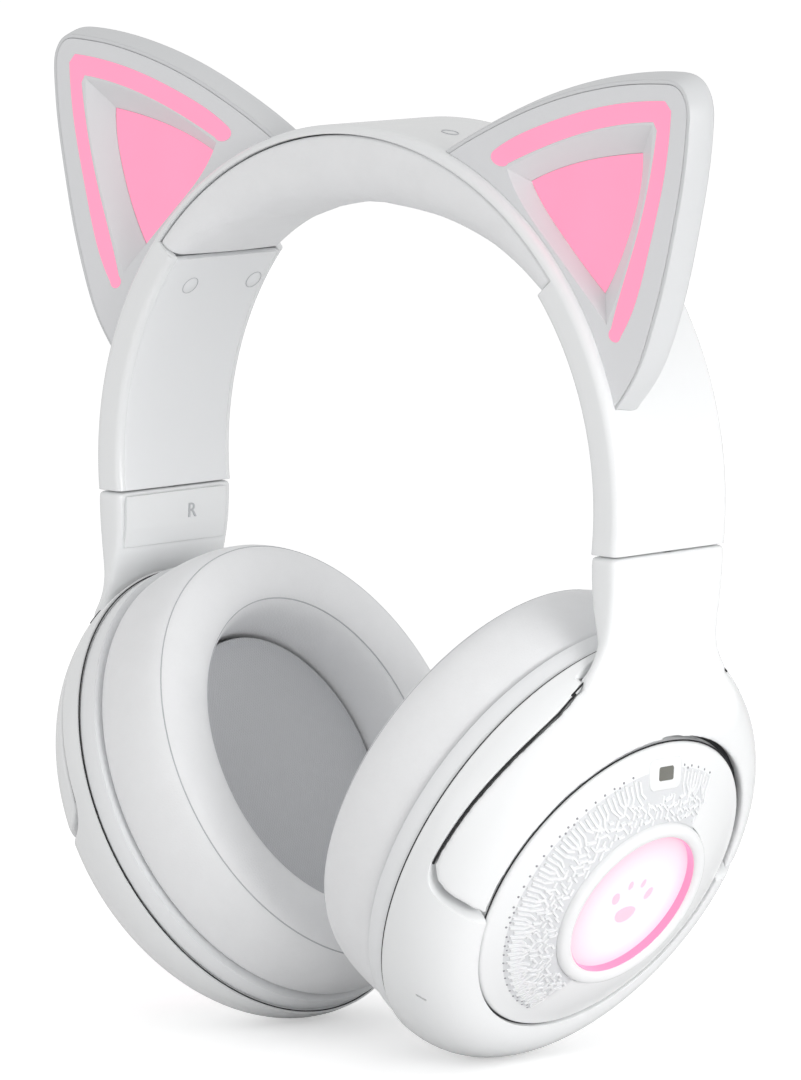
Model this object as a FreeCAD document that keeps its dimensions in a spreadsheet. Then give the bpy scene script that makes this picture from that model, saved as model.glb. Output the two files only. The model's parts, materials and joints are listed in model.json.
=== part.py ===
import FreeCAD, Part
import math
import os
import Sketcher

# Wireless over-ear gaming headset with cat ears, life size, in millimetres.
# Frame: +Z up, +X towards the wearer's left ear, -Y towards the front.
# The origin is on the ground plane, midway between the two ear cups.
# The left side is modelled; the right side is its mirror image, apart from the
# buttons, microphone, socket, indicator and main board (left cup only) and the
# battery (right cup only).

V = FreeCAD.Vector
doc = FreeCAD.newDocument("gaming_headset")

# ------------------------------------------------------------ driving dimensions
# alias, value, note
DIMENSIONS = [
    ("lift_z", 108.25, "height of the arm seam datum above the ground"),
    ("band_cz", 121.25, "height of the arch centre"),
    ("band_r", 77.0, "outer radius of the arch"),
    ("band_inner_r", 69.3, "inner radius of the arms"),
    ("band_half", 17.6, "half depth of the headband"),
    ("seam_z", 113.45, "height of the arm ends"),
    ("crown_r", 75.0, "where the shell flange stops over the pad"),
    ("crown_deg", 39.9, "angle where the crown pad starts"),
    ("spring_r", 73.6, "inner radius of the spring strip"),
    ("spring_thick", 0.8, "spring strip thickness"),
    ("spring_half", 8.0, "half width of the spring strip"),
    ("spring_deg", 106.0, "sweep of the spring strip"),
    ("carrier_r", 71.5, "inner radius of the pad carrier"),
    ("carrier_thick", 1.7, "pad carrier thickness"),
    ("carrier_half", 14.6, "half width of the pad carrier"),
    ("carrier_deg", 104.0, "sweep of the pad carrier"),
    ("cover_thick", 1.2, "arm inner cover thickness"),
    ("cover_half", 16.0, "half width of the arm inner cover"),
    ("pad_r", 99.8, "radius of the pad's lower surface"),
    ("pad_cz", 81.75, "height of the centre of that radius"),
    ("pad_half", 17.4, "half depth of the crown pad"),
    ("ear_front", -15.0, "front plane of the ears"),
    ("ear_back", -8.0, "back plane of the ears"),
    ("cup_x", 60.6, "side disc centre, sideways"),
    ("cup_z", 40.75, "side disc centre, height"),
    ("cup_tilt", 27.5, "lean of the cups, degrees"),
    ("cup_a", 52.4, "cup half height"),
    ("cup_b", 47.6, "cup half width"),
    ("cup_depth", 16.8, "housing depth"),
    ("disc_r", 36.0, "side cap radius"),
    ("fork_hole_r", 37.4, "radius of the fork opening"),
    ("fork_thick", 3.0, "fork thickness"),
    ("fork_gap", 1.5, "clearance under the fork"),
    ("pivot_v", 5.0, "tilt pivot above the disc centre"),
    ("pivot_n", -8.0, "tilt pivot below the disc plane"),
    ("tilt_pin_r", 1.8, "tilt pin radius"),
    ("swivel_x", 72.85, "swivel axis, sideways"),
    ("swivel_pin_r", 1.6, "swivel pin radius"),
    ("run_gap", 0.05, "running clearance, radial"),
    ("rail_wide", 14.0, "slider rail width"),
    ("rail_thick", 1.2, "slider rail thickness"),
    ("rail_long", 33.0, "slider rail length"),
    ("rail_lean", 6.5, "lean of the slider rail, degrees"),
    ("window_r", 17.0, "lit window radius"),
    ("rim_r", 20.3, "window rim radius"),
    ("driver_r", 20.0, "driver radius"),
    ("ring_top", -17.1, "cup ring, outer face"),
    ("ring_low", -21.9, "cup ring, cushion face"),
    ("cushion_top", -22.1, "cushion base"),
    ("cushion_low", -42.5, "cushion face"),
    ("screw_r", 1.0, "screw shank radius"),
    ("screw_head_r", 1.9, "screw head radius"),
    ("button_r", 2.5, "button radius"),
]
sheet = doc.addObject("Spreadsheet::Sheet", "Sizes")
for row, (alias, number, note) in enumerate(DIMENSIONS, 1):
    sheet.set("A%d" % row, note)
    sheet.set("B%d" % row, str(number))
    sheet.setAlias("B%d" % row, alias)
doc.recompute()
size = {alias: float(sheet.get(alias)) for alias, number, note in DIMENSIONS}

LIFT = size["lift_z"]
ARCH_Z = size["band_cz"]
SEAM_Z = size["seam_z"]

# Cup frame of the left cup: X towards the rear, Y up along the cup, Z outwards,
# with its origin at the side disc centre.
lean = math.radians(size["cup_tilt"])
CUP = FreeCAD.Placement(FreeCAD.Matrix(
    0, math.sin(lean), math.cos(lean), size["cup_x"],
    1, 0, 0, 0,
    0, math.cos(lean), -math.sin(lean), size["cup_z"],
    0, 0, 0, 1))
NODES = {}


# ------------------------------------------------------------ document helpers
# A spec is a number, an alias, or (alias, factor, offset).
def value_of(spec):
    if isinstance(spec, str):
        return size[spec]
    if isinstance(spec, tuple):
        alias, factor, offset = spec
        return factor * size[alias] + offset
    return float(spec)


def formula(spec):
    """Spreadsheet expression of a spec, or None for a plain number."""
    if isinstance(spec, str):
        return "Sizes." + spec
    if isinstance(spec, tuple):
        alias, factor, offset = spec
        sign = "-" if offset < 0 else "+"
        return "%g * Sizes.%s %s %g" % (factor, alias, sign, abs(offset))
    return None


def bind(obj, prop, spec):
    if formula(spec):
        obj.setExpression(prop, formula(spec))


def bind_to_seam(obj, offset):
    """Hold an object's base a fixed height above the arm ends."""
    bind(obj, "Placement.Base.z", ("seam_z", 1, offset))
    return obj


def at(x, y, z, turn_y=0.0):
    """Placement at a point, turned about +Y by some degrees."""
    return FreeCAD.Placement(V(x, y, z), FreeCAD.Rotation(V(0, 1, 0), turn_y))


def in_cup(x, y, z, turn_y=0.0):
    return CUP.multiply(at(x, y, z, turn_y))


def polygon_body(name, role, points):
    """Body with one closed polygon sketch on the origin plane of the given role."""
    body = doc.addObject("PartDesign::Body", name)
    sketch = body.newObject("Sketcher::SketchObject", name + "_profile")
    plane = [f for f in body.Origin.OriginFeatures if f.Role == role][0]
    sketch.AttachmentSupport = [(plane, "")]
    sketch.MapMode = "FlatFace"
    count = len(points)
    corners = [V(value_of(x), value_of(y), 0) for x, y in points]
    for i in range(count):
        sketch.addGeometry(Part.LineSegment(corners[i], corners[(i + 1) % count]), False)
    for i in range(count):
        sketch.addConstraint(Sketcher.Constraint("Coincident", i, 2, (i + 1) % count, 1))
    for i, (x, y) in enumerate(points):
        for kind, spec in (("DistanceX", x), ("DistanceY", y)):
            index = sketch.addConstraint(
                Sketcher.Constraint(kind, -1, 1, i, 1, value_of(spec)))
            bind(sketch, "Constraints[%d]" % index, spec)
    doc.recompute()
    return body, sketch


def revolved(name, role, points, angle, place):
    body, sketch = polygon_body(name, role, points)
    turn = body.newObject("PartDesign::Revolution", name + "_turn")
    turn.Profile = sketch
    turn.ReferenceAxis = (sketch, ["V_Axis"])
    turn.Angle = value_of(angle)
    bind(turn, "Angle", angle)
    body.Tip = turn
    body.Placement = place
    doc.recompute()
    return body


def turned(name, points):
    """Full turn about the cup axis: profile in (radius, z of the cup frame)."""
    return revolved(name, "XZ_Plane", points, 360.0, CUP)


def arch_body(name, points, start_deg, sweep):
    """Profile in (radius, y), swept about the arch axis.

    It starts at start_deg, counted from +X upwards, and runs towards +X.
    """
    body = revolved(name, "XY_Plane", points, sweep, at(0, 0, ARCH_Z, -start_deg))
    bind(body, "Placement.Base.z", "band_cz")
    return body


def strip(name, radius, thick, half, start_deg, sweep):
    """Flat strip curved along the arch."""
    outer = (radius, 1, size[thick])
    front = (half, -1, 0)
    points = [(radius, front), (outer, front), (outer, half), (radius, half)]
    return arch_body(name, points, start_deg, sweep)


def primitive(kind, name, place, **specs):
    obj = doc.addObject(kind, name)
    for prop, spec in specs.items():
        setattr(obj, prop, value_of(spec))
        bind(obj, prop, spec)
    obj.Placement = place
    return obj


def box(name, length, width, height, place):
    return primitive("Part::Box", name, place, Length=length, Width=width, Height=height)


def cylinder(name, radius, height, place):
    return primitive("Part::Cylinder", name, place, Radius=radius, Height=height)


def boolean(kind, name, base, tool):
    obj = doc.addObject("Part::" + kind, name)
    obj.Base = base
    obj.Tool = tool
    return obj


def cut(name, base, tool):
    return boolean("Cut", name, base, tool)


def common(name, base, tool):
    return boolean("Common", name, base, tool)


def fuse(name, items):
    obj = doc.addObject("Part::MultiFuse", name)
    obj.Shapes = items
    return obj


def group(name, items):
    obj = doc.addObject("Part::Compound", name)
    obj.Links = items
    return obj


def feature(name, shape, place=None):
    obj = doc.addObject("Part::Feature", name)
    obj.Shape = shape
    if place is not None:
        obj.Placement = place
    return obj


def node(name, obj):
    """Register an object as a finished piece."""
    obj.Label = name
    NODES[name] = obj


def shape_node(name, shape, place=None):
    node(name, feature(name, shape, place))


def mirrored(name, source):
    obj = doc.addObject("Part::Mirroring", name)
    obj.Source = source
    obj.Normal = V(1, 0, 0)
    obj.Base = V(0, 0, 0)
    node(name, obj)


# ------------------------------------------------------------ shape helpers
def oval(half_height, half_width, z):
    """Ellipse wire in the cup frame, long axis along Y."""
    half_height = max(half_height, half_width + 0.001)
    curve = Part.Ellipse(V(0, half_height, z), V(half_width, 0, z), V(0, 0, z))
    return Part.Wire([curve.toShape()])


def oval_loft(sections):
    """Loft through sections of (half height, half width, z)."""
    return Part.makeLoft([oval(*section) for section in sections], True, False)


def oval_block(half_height, half_width, z_start, z_end):
    return oval_loft([(half_height, half_width, z) for z in (z_start, z_end)])


def dome(half_height, half_width, top_radius, low, top):
    """Oval at the low plane, rounding over to a circle at the top plane."""
    steps = 9
    sections = []
    for i in range(steps + 1):
        angle = math.pi / 2 * i / steps
        spread = math.cos(angle)
        sections.append((top_radius + (half_height - top_radius) * spread,
                         top_radius + (half_width - top_radius) * spread,
                         low + (top - low) * math.sin(angle)))
    return oval_loft(sections)


def cross_cylinder(y, z, radius, x_start, x_end):
    """Cylinder along the cup's front-to-rear direction."""
    return Part.makeCylinder(radius, x_end - x_start, V(x_start, y, z), V(1, 0, 0))


def axial_cylinder(x, y, radius, z_start, z_end):
    return Part.makeCylinder(radius, z_end - z_start, V(x, y, z_start), V(0, 0, 1))


def arch_cylinder(radius, z, half):
    """Cylinder along Y, centred on y = 0, with its axis at height z."""
    return Part.makeCylinder(radius, 2 * half, V(0, -half, z), V(0, 1, 0))


def spline(points):
    curve = Part.BSplineCurve()
    curve.interpolate(points)
    return curve.toShape()


def offset_open(points, distance):
    """Shift an open point row sideways; positive is to the left of travel."""
    shifted = []
    last = len(points) - 1
    for i, (x, z) in enumerate(points):
        before = points[max(i - 1, 0)]
        after = points[min(i + 1, last)]
        step_x = after[0] - before[0]
        step_z = after[1] - before[1]
        length = math.hypot(step_x, step_z)
        shifted.append((x - step_z / length * distance, z + step_x / length * distance))
    return shifted


def chain_wire(rows, y):
    """Closed wire at depth y: each row of points is one edge, gaps closed by lines."""
    edges = []
    for i, row in enumerate(rows):
        points = [V(x, y, z + LIFT) for x, z in row]
        if len(row) == 2:
            edges.append(Part.LineSegment(points[0], points[1]).toShape())
        else:
            edges.append(spline(points))
        next_x, next_z = rows[(i + 1) % len(rows)][0]
        if math.hypot(next_x - row[-1][0], next_z - row[-1][1]) > 1e-6:
            edges.append(Part.LineSegment(points[-1], V(next_x, y, next_z + LIFT)).toShape())
    return Part.Wire(edges)


def slab(rows, y_front, y_back):
    return Part.Face(chain_wire(rows, y_front)).extrude(V(0, y_back - y_front, 0))


def round_rect(corners, radius):
    """Closed wire through four corners, each rounded by an arc."""
    arcs = []
    for i, corner in enumerate(corners):
        to_last = (corners[i - 1] - corner).normalize()
        to_next = (corners[(i + 1) % len(corners)] - corner).normalize()
        middle = corner + (to_last + to_next) * (radius * (1 - math.sqrt(0.5)))
        arcs.append((corner + to_last * radius, middle, corner + to_next * radius))
    edges = []
    for i, (start, middle, end) in enumerate(arcs):
        edges.append(Part.Arc(start, middle, end).toShape())
        edges.append(Part.LineSegment(end, arcs[(i + 1) % len(arcs)][0]).toShape())
    return Part.Wire(edges)


def to_cup(shape):
    """Copy of a shape from the headset frame, expressed in the cup frame."""
    moved = shape.copy()
    moved.Placement = CUP.inverse().multiply(moved.Placement)
    return moved


# ------------------------------------------------------------ arm screws
SCREW_DEG = {"left": 33.0, "right": 180.0 - 33.0}
SCREW_Y = (-7.0, 12.7)  # one near the middle, one near the rear edge
PILOT_R = ("screw_r", 1, 0.05)
# radial cylinders at each screw: kind: (radius, length, start distance from the arch axis)
SCREW_STACK = {
    "boss": (2.9, 3.6, 72.1),
    "pilot": (PILOT_R, 3.1, 72.0),
    "armhead": ("screw_head_r", 0.65, 70.7),
    "armshank": ("screw_r", 3.5, 71.3),
    "plug": (2.05, 1.1, 69.42),
    "sleeve": (2.9, 1.7, 70.3),
    "sink": (2.12, 2.3, 69.1),
    "through": (PILOT_R, 3.0, 69.3),
}


def screw_cylinder(kind, side, index):
    radius, length, start = SCREW_STACK[kind]
    angle = math.radians(SCREW_DEG[side])
    outward = V(math.cos(angle), 0, math.sin(angle))
    base = V(outward.x * start, SCREW_Y[index], ARCH_Z + outward.z * start)
    place = FreeCAD.Placement(base, FreeCAD.Rotation(V(0, 0, 1), outward))
    return cylinder("%s_%s_%d" % (kind, side, index), radius, length, place)


stack = {side: {kind: [screw_cylinder(kind, side, index) for index in (0, 1)]
                for kind in SCREW_STACK} for side in ("left", "right")}


def both_arms(kind):
    return stack["left"][kind] + stack["right"][kind]


arm_screws = [fuse("armscrew_%d" % i, list(pair))
              for i, pair in enumerate(zip(both_arms("armhead"), both_arms("armshank")))]
node("arm_cover_screws", group("arm_cover_screws", arm_screws))
node("arm_screw_plugs", group("arm_screw_plugs", both_arms("plug")))


# ------------------------------------------------------------ headband
ARM_END_DEG = 188.0  # beyond the arm end, trimmed off at the seam
# Half profiles of the shell: radius alias, offset on it, inset from the depth edge
SHELL_OUTSIDE = [("band_inner_r", 0.2, 0), ("band_r", -2.2, 0), ("band_r", -1.3, 0.2),
                 ("band_r", -0.6, 0.7), ("band_r", -0.15, 1.4), ("band_r", 0, 2.4)]
SHELL_INSIDE = [("band_inner_r", 0.2, 1.4), ("band_r", -3.2, 1.4), ("band_r", -2.0, 2.6),
                ("band_r", -1.6, 3.4)]


def front_points(rows):
    return [((alias, 1, offset), ("band_half", -1, inset)) for alias, offset, inset in rows]


def rear_points(rows):
    return [((alias, 1, offset), ("band_half", 1, -inset)) for alias, offset, inset in rows]


def trimmed_at_seam(name, base, tool_name):
    """Remove everything below the arm ends."""
    height = 40.0
    tool = box(tool_name, 200.0, 60.0, height, at(-100, -30, SEAM_Z - height))
    return cut(name, base, bind_to_seam(tool, -height))


def build_headband_shell():
    profile = (front_points(SHELL_OUTSIDE) + rear_points(SHELL_OUTSIDE[::-1])
               + rear_points(SHELL_INSIDE) + front_points(SHELL_INSIDE[::-1]))
    shell = arch_body("shell_c", profile, ARM_END_DEG, 196.0)
    opening = arch_body("crown_opening", [
        (60.0, -20.0), ("crown_r", -20.0), ("crown_r", 20.0), (60.0, 20.0)],
        180.0 - size["crown_deg"], ("crown_deg", -2, 180))
    shell = trimmed_at_seam("shell_ends", cut("shell_crown", shell, opening), "arm_end_cut")
    shell = fuse("shell_with_bosses", [shell] + both_arms("boss"))
    shell = cut("shell_bossed", shell, fuse("shell_pilots", both_arms("pilot")))
    node("headband_shell", shell)


def build_arm_cover(side, start_deg):
    """Inner cover of one arm, with screw sleeves."""
    cover = strip("cover_strip_" + side, "band_inner_r", "cover_thick", "cover_half",
                  start_deg, 48.0)
    cover = trimmed_at_seam("cover_trim_" + side, cover, "cover_end_" + side)
    cover = fuse("cover_sleeves_" + side, [cover] + stack[side]["sleeve"])
    sinks = fuse("cover_sinks_" + side, stack[side]["sink"] + stack[side]["through"])
    node("arm_cover_" + side, cut("cover_holes_" + side, cover, sinks))


def build_headband_pad():
    """Soft block between its own flatter arc and the shell, with lips front and rear."""
    channel_half = 15.2
    reach = 200
    angle = math.radians(size["crown_deg"] + 0.6)
    side_x = reach * math.cos(angle)
    side_z = ARCH_Z + reach * math.sin(angle)
    apex = V(0, -30, ARCH_Z)
    outline = Part.makePolygon([apex, V(side_x, -30, side_z), V(-side_x, -30, side_z), apex])
    wedge = Part.Face(outline).extrude(V(0, 60, 0))
    pad = arch_cylinder(size["crown_r"] - 0.3, ARCH_Z, size["pad_half"]).common(wedge)
    pad = pad.cut(arch_cylinder(size["pad_r"], size["pad_cz"], 25))
    carrier_room = arch_cylinder(80, ARCH_Z, channel_half).cut(
        arch_cylinder(size["carrier_r"] - 0.3, ARCH_Z, channel_half))
    shape_node("headband_pad", pad.cut(carrier_room))


build_headband_shell()
node("headband_spring", strip("headband_spring", "spring_r", "spring_thick", "spring_half",
                              143.0, "spring_deg"))
node("headband_pad_carrier", strip("headband_pad_carrier", "carrier_r", "carrier_thick",
                                   "carrier_half", 142.0, "carrier_deg"))
build_arm_cover("left", size["crown_deg"] - 0.4)
build_arm_cover("right", ARM_END_DEG)
build_headband_pad()

# ------------------------------------------------------------ size sliders
# The rail leans inwards going up, so that it clears the curved arm.
SWIVEL_X = size["swivel_x"]
FOOT_X = SWIVEL_X + 0.25
RAIL_X = SWIVEL_X - 0.05
RAIL_RISE = 2.2  # rail base above the seam, also the foot height
SLOT_PLAY = 0.3


def build_slider_rail():
    foot_length = 3.0
    foot_width = 8.0
    foot = box("foot_block", foot_length, foot_width, RAIL_RISE,
               at(FOOT_X - foot_length / 2, -foot_width / 2, SEAM_Z + 0.1))
    plate = box("rail_plate", "rail_thick", "rail_wide", "rail_long",
                at(RAIL_X - size["rail_thick"] / 2, -size["rail_wide"] / 2,
                   SEAM_Z + RAIL_RISE, -size["rail_lean"]))
    bore = cylinder("foot_bore", ("swivel_pin_r", 1, 0.01), 2.12, at(SWIVEL_X, 0, SEAM_Z))
    bind_to_seam(foot, 0.1)
    bind_to_seam(plate, RAIL_RISE)
    bind_to_seam(bore, 0)
    node("slider_rail_left", cut("rail_left", fuse("rail_with_foot", [foot, plate]), bore))


def build_swivel_pin():
    shank_base = -8.3
    head_base = -9.7
    shank = cylinder("pin_shank", "swivel_pin_r", 10.3, at(SWIVEL_X, 0, SEAM_Z + shank_base))
    head = cylinder("pin_head", ("swivel_pin_r", 1, 0.4), 1.5,
                    at(SWIVEL_X, 0, SEAM_Z + head_base))
    bind_to_seam(shank, shank_base)
    bind_to_seam(head, head_base)
    node("swivel_pin_left", fuse("pin_left", [shank, head]))


def build_slider_guide():
    """Block inside the arm, slotted for the rail and recessed for its foot."""
    inner_r = ("band_inner_r", 1, 1.5)
    outer_r = ("band_r", 1, -1.9)
    ring = arch_body("guide_ring", [
        (inner_r, -15.9), (outer_r, -13.0), (outer_r, 13.0), (inner_r, 15.9)], 12.0, 24.0)
    zone = box("guide_zone", 20.0, 40.0, 11.0, at(64, -20, SEAM_Z + 0.3))
    bind_to_seam(zone, 0.3)
    block = common("guide_raw", ring, zone)
    below = 20  # the slot starts this far below the rail, along its lean
    rail_lean = math.radians(size["rail_lean"])
    slot = box("guide_slot", ("rail_thick", 1, SLOT_PLAY), ("rail_wide", 1, SLOT_PLAY), 60.0,
               at(RAIL_X - (size["rail_thick"] + SLOT_PLAY) / 2 + below * math.sin(rail_lean),
                  -(size["rail_wide"] + SLOT_PLAY) / 2,
                  SEAM_Z + RAIL_RISE - below * math.cos(rail_lean), -size["rail_lean"]))
    recess = box("guide_recess", 4.2, 8.4, 8.0, at(FOOT_X - 2.1, -4.2, SEAM_Z - 5.3))
    bind_to_seam(recess, -5.3)
    node("slider_guide_left", cut("guide_left", block, fuse("guide_voids", [slot, recess])))


build_slider_rail()
build_swivel_pin()
build_slider_guide()

# ------------------------------------------------------------ cat ears
# Ear outlines, seen from the front: (x, height above the lift_z datum).
# From the inner base over the tip to the outer base:
EAR = [(24.6, 84.6), (27.4, 86.2), (38.7, 91.8), (52.7, 97.4), (66.6, 101.2), (77.6, 103.0),
       (85.2, 103.5), (89.5, 102.9), (91.4, 100.6), (91.9, 94.5), (91.0, 86.2), (89.0, 75.9),
       (86.0, 63.3), (82.6, 52.7), (78.6, 43.1), (73.8, 36.5), (71.6, 34.0)]
# Straight base line, from the outer end back to the inner end:
BASE = [(69.0, 36.0), (46.0, 60.0), (24.0, 80.0)]
# Light band, one row per edge: top, outer side, lower end, inner edges, inner end
BAND = [[(39.4, 87.3), (41.6, 88.6), (52.8, 93.3), (66.7, 97.4), (80.4, 99.7), (86.2, 100.1)],
        [(87.9, 98.2), (87.8, 96.3), (86.1, 83.9), (82.3, 69.2), (77.1, 54.4), (74.9, 50.9)],
        [(74.9, 50.9), (73.3, 49.6), (71.9, 50.4), (72.3, 52.3)],
        [(72.3, 52.3), (74.2, 58.3), (79.5, 73.1), (82.8, 85.7), (84.2, 94.0)],
        [(83.2, 95.7), (69.5, 93.7), (55.7, 89.7), (42.9, 84.6)],
        [(42.9, 84.6), (40.6, 83.9), (38.2, 85.3), (39.4, 87.3)]]
# Three-sided outlines, one row per side: back and front end of the funnel
PANEL = [[(46.3, 80.8), (57.8, 85.1), (68.9, 87.5), (77.0, 88.6)],
         [(77.0, 88.6), (76.7, 83.0), (74.6, 74.6), (70.6, 65.0), (67.1, 59.1)],
         [(67.1, 59.1), (62.3, 63.3), (55.2, 70.1), (48.1, 78.0), (46.3, 80.8)]]
RECESS = [[(42.6, 83.5), (55.9, 89.25), (69.5, 93.15), (82.9, 95.1)],
          [(82.9, 95.1), (82.2, 86.0), (78.9, 73.3), (73.6, 58.8), (71.1, 52.9)],
          [(71.1, 52.9), (62.2, 61.6), (54.4, 69.0), (46.2, 77.4), (42.6, 83.5)]]
FRONT = size["ear_front"]
BACK = size["ear_back"]
# Ear shell sections: outward offset of the outline, y
EAR_SECTIONS = [(0.9, FRONT + 0.1), (1.5, FRONT + 1.6), (2.1, FRONT + 3.4),
                (2.4, FRONT + 5.0), (2.1, BACK - 0.7), (1.2, BACK)]
# Share of the offset kept at the last three outline points
EAR_TAPER = (0.7, 0.4, 0.35)
PLATE_THICK = 1.6
BAND_BACK = FRONT + 1.5
FUNNEL_BACK = FRONT + 3.85


def grown(rows, distance):
    """Closed outline moved outwards from the mean of its points."""
    points = [point for row in rows for point in row]
    middle_x = sum(x for x, z in points) / len(points)
    middle_z = sum(z for x, z in points) / len(points)

    def moved(x, z):
        reach = math.hypot(x - middle_x, z - middle_z)
        return (x + (x - middle_x) / reach * distance, z + (z - middle_z) / reach * distance)

    return [[moved(x, z) for x, z in row] for row in rows]


def ear_rows(distance):
    """Ear outline offset outwards, easing off towards the outer base."""
    outline = offset_open(EAR, distance)
    if distance > 0.1:
        first = len(EAR) - len(EAR_TAPER)
        for i, taper in enumerate(EAR_TAPER, first):
            share = max(taper, min(1.0, 0.55 / distance))
            x, z = EAR[i]
            outline[i] = (x + (outline[i][0] - x) * share, z + (outline[i][1] - z) * share)
    return [outline, [outline[-1], BASE[0]], BASE[:2], BASE[1:], [BASE[2], outline[0]]]


def build_ear_shell():
    sections = [chain_wire(ear_rows(distance), y) for distance, y in EAR_SECTIONS]
    shell = Part.makeLoft(sections, True, False)
    shell = shell.cut(slab(ear_rows(0.08), FRONT - 1, BACK - 1.5)).cut(arch_room)
    shape_node("ear_shell_left", shell)


def build_ear_frame():
    """Front plate and boss, opened by the funnel and grooved for the light band."""
    plate = slab(ear_rows(0.0), FRONT, FRONT + PLATE_THICK)
    boss = slab(grown(RECESS, 0.9), FRONT + 1.5, FRONT + 3.8)
    funnel = Part.makeLoft([chain_wire(grown(RECESS, 0.12), FRONT - 0.1),
                            chain_wire(grown(PANEL, -0.02), FUNNEL_BACK)], True, True)
    frame = plate.fuse(boss).cut(funnel).cut(slab(BAND, FRONT - 1, BAND_BACK)).cut(arch_room)
    shape_node("ear_frame_left", frame)


def build_ear_light_band():
    """Band standing slightly proud of the plate, kept to the left half space."""
    proud_y = FRONT - 0.05
    half_space = Part.makeBox(200, 200, 400, V(0, proud_y, 0))
    shape_node("ear_light_band_left", slab(BAND, proud_y, BAND_BACK).common(half_space))


def build_ear_light_board():
    board = slab(grown(RECESS, 1.5), FRONT + 4.65, FRONT + 5.25)
    board = board.cut(arch_cylinder(size["band_r"] + 0.5, ARCH_Z, 30))
    shape_node("ear_light_board_left", board)


arch_room = arch_cylinder(size["band_r"] + 0.03, ARCH_Z, 30)
build_ear_shell()
build_ear_frame()
build_ear_light_band()
shape_node("ear_inner_panel_left", slab(grown(PANEL, 0.7), FUNNEL_BACK, FRONT + 4.5))
build_ear_light_board()

# ------------------------------------------------------------ cup form and fork
# From here on shapes are built in the cup frame and placed by CUP.
CUP_A = size["cup_a"]
CUP_B = size["cup_b"]
DEPTH = size["cup_depth"]
FORK = size["fork_thick"]
UNDER_FORK = FORK + size["fork_gap"]
WALL = 1.8
INNER_FACE = UNDER_FORK + WALL
DOME_TOP_R = size["disc_r"] + 0.9
SADDLE_Y, SADDLE_Z, SADDLE_R = 58.5, 11.3, 24.0
# Lower and front edge of the fork, seen from the side: (y, z)
FORK_EDGE = [(-1.95, 1.2), (-1.8, -0.04), (-1.25, -0.9), (-0.7, -2.0), (-0.1, -3.9),
             (0.4, -6.1), (1.05, -7.6), (2.15, -9.2), (3.5, -10.35), (5.4, -10.95),
             (8.3, -10.95), (12.3, -10.77), (19.3, -10.42), (27.7, -9.85),
             (34.75, -9.55), (40.5, -9.8), (44.5, -11.0), (48.5, -13.3)]
# Edge of the housing's recess for the fork, reaching a little further all round: (y, z)
STEP_EDGE = [(-4.6, 1.2), (-4.3, -0.02), (-3.75, -0.6), (-3.2, -1.5), (-2.6, -3.3),
             (-2.1, -5.3), (-1.5, -7.5), (-0.5, -9.1), (1.1, -10.45), (3.2, -11.3),
             (5.6, -11.5), (8.3, -11.4), (12.3, -11.22), (19.3, -10.87), (27.7, -10.3),
             (34.75, -10.0), (40.5, -10.25), (44.5, -11.45), (48.5, -13.75)]
NECK_HALF = 21.0
# Neck sections on level planes of the headset frame:
# inner x, outer x, height above the lift_z datum, half depth, corner radius
NECK_LEVELS = [(68.95, 76.5, 4.9, 17.6, 1.5), (68.95, 76.45, 0.5, 17.5, 1.5),
               (69.1, 76.2, -3.5, 17.4, 1.5), (69.7, 75.8, -7.5, 17.3, 1.4),
               (70.6, 75.2, -11.0, 17.4, 1.3), (71.2, 74.75, -13.5, 17.6, 1.2)]
# Neck sections in the cup frame: inner z, outer z, y, half depth, corner radius
NECK_FOOT = [(-14.5, -11.4, 51.0, 18.6, 1.1), (-13.6, -10.4, 48.5, 20.0, 1.1),
             (-12.4, -9.2, 46.0, 22.0, 1.1)]
PIVOT = (size["pivot_v"], size["pivot_n"])  # y, z
TILT_PIN_R = size["tilt_pin_r"]
PIN_INNER, PIN_OUTER = 36.0, 44.0  # tilt pin ends, either way along the cup's X


def inset_dome(inset):
    return dome(CUP_A - inset, CUP_B - inset, DOME_TOP_R - 0.9 * inset, -DEPTH, -inset)


def saddled(solid, inset):
    """Scoop the top of the dome where the neck runs into it."""
    return solid.cut(cross_cylinder(SADDLE_Y, SADDLE_Z, SADDLE_R + inset, -60, 60))


def edge_zone(row, x_start, x_end):
    """Everything inwards of an edge row and below its lower end."""
    low = -60
    start_y, start_z = row[0]
    end_y, end_z = row[-1]
    loop = [V(x_start, y, z) for y, z in (
        (end_y, end_z), (90, end_z), (90, low), (-90, low),
        (-90, start_z + 30), (start_y, start_z + 30), (start_y, start_z))]
    edges = [spline([V(x_start, y, z) for y, z in row])]
    edges += [Part.LineSegment(a, b).toShape() for a, b in zip(loop, loop[1:])]
    return Part.Face(Part.Wire(edges)).extrude(V(x_end - x_start, 0, 0))


def fork_zone(row, flat):
    """Edge row either side of the neck; under it only the lower part and a flat rim."""
    zone = edge_zone(row, -70, -NECK_HALF).fuse(edge_zone(row, NECK_HALF, 70))
    zone = zone.fuse(Part.makeBox(140, 90 + row[0][0], 80, V(-70, -90, -40)))
    return zone.fuse(Part.makeBox(140, 200, 40, V(-70, -100, flat - 40)))


def neck(grow):
    """Neck of the yoke in the cup frame; a grown one also reaches 3 mm higher."""
    sections = []
    for i, (inner, outer, z, half, radius) in enumerate(NECK_LEVELS):
        height = LIFT + z + (3 if grow > 0 and i == 0 else 0)
        low_x, high_x, depth = inner - grow, outer + grow, half + grow
        sections.append(round_rect([
            V(low_x, -depth, height), V(high_x, -depth, height),
            V(high_x, depth, height), V(low_x, depth, height)], radius))
    for inner, outer, y, half, radius in NECK_FOOT:
        low_z, high_z, depth = inner - grow, outer + grow, half + grow
        corners = [V(-depth, y, low_z), V(-depth, y, high_z),
                   V(depth, y, high_z), V(depth, y, low_z)]
        sections.append(round_rect([CUP.multVec(corner) for corner in corners], radius))
    return to_cup(Part.makeLoft(sections, True, True))


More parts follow.
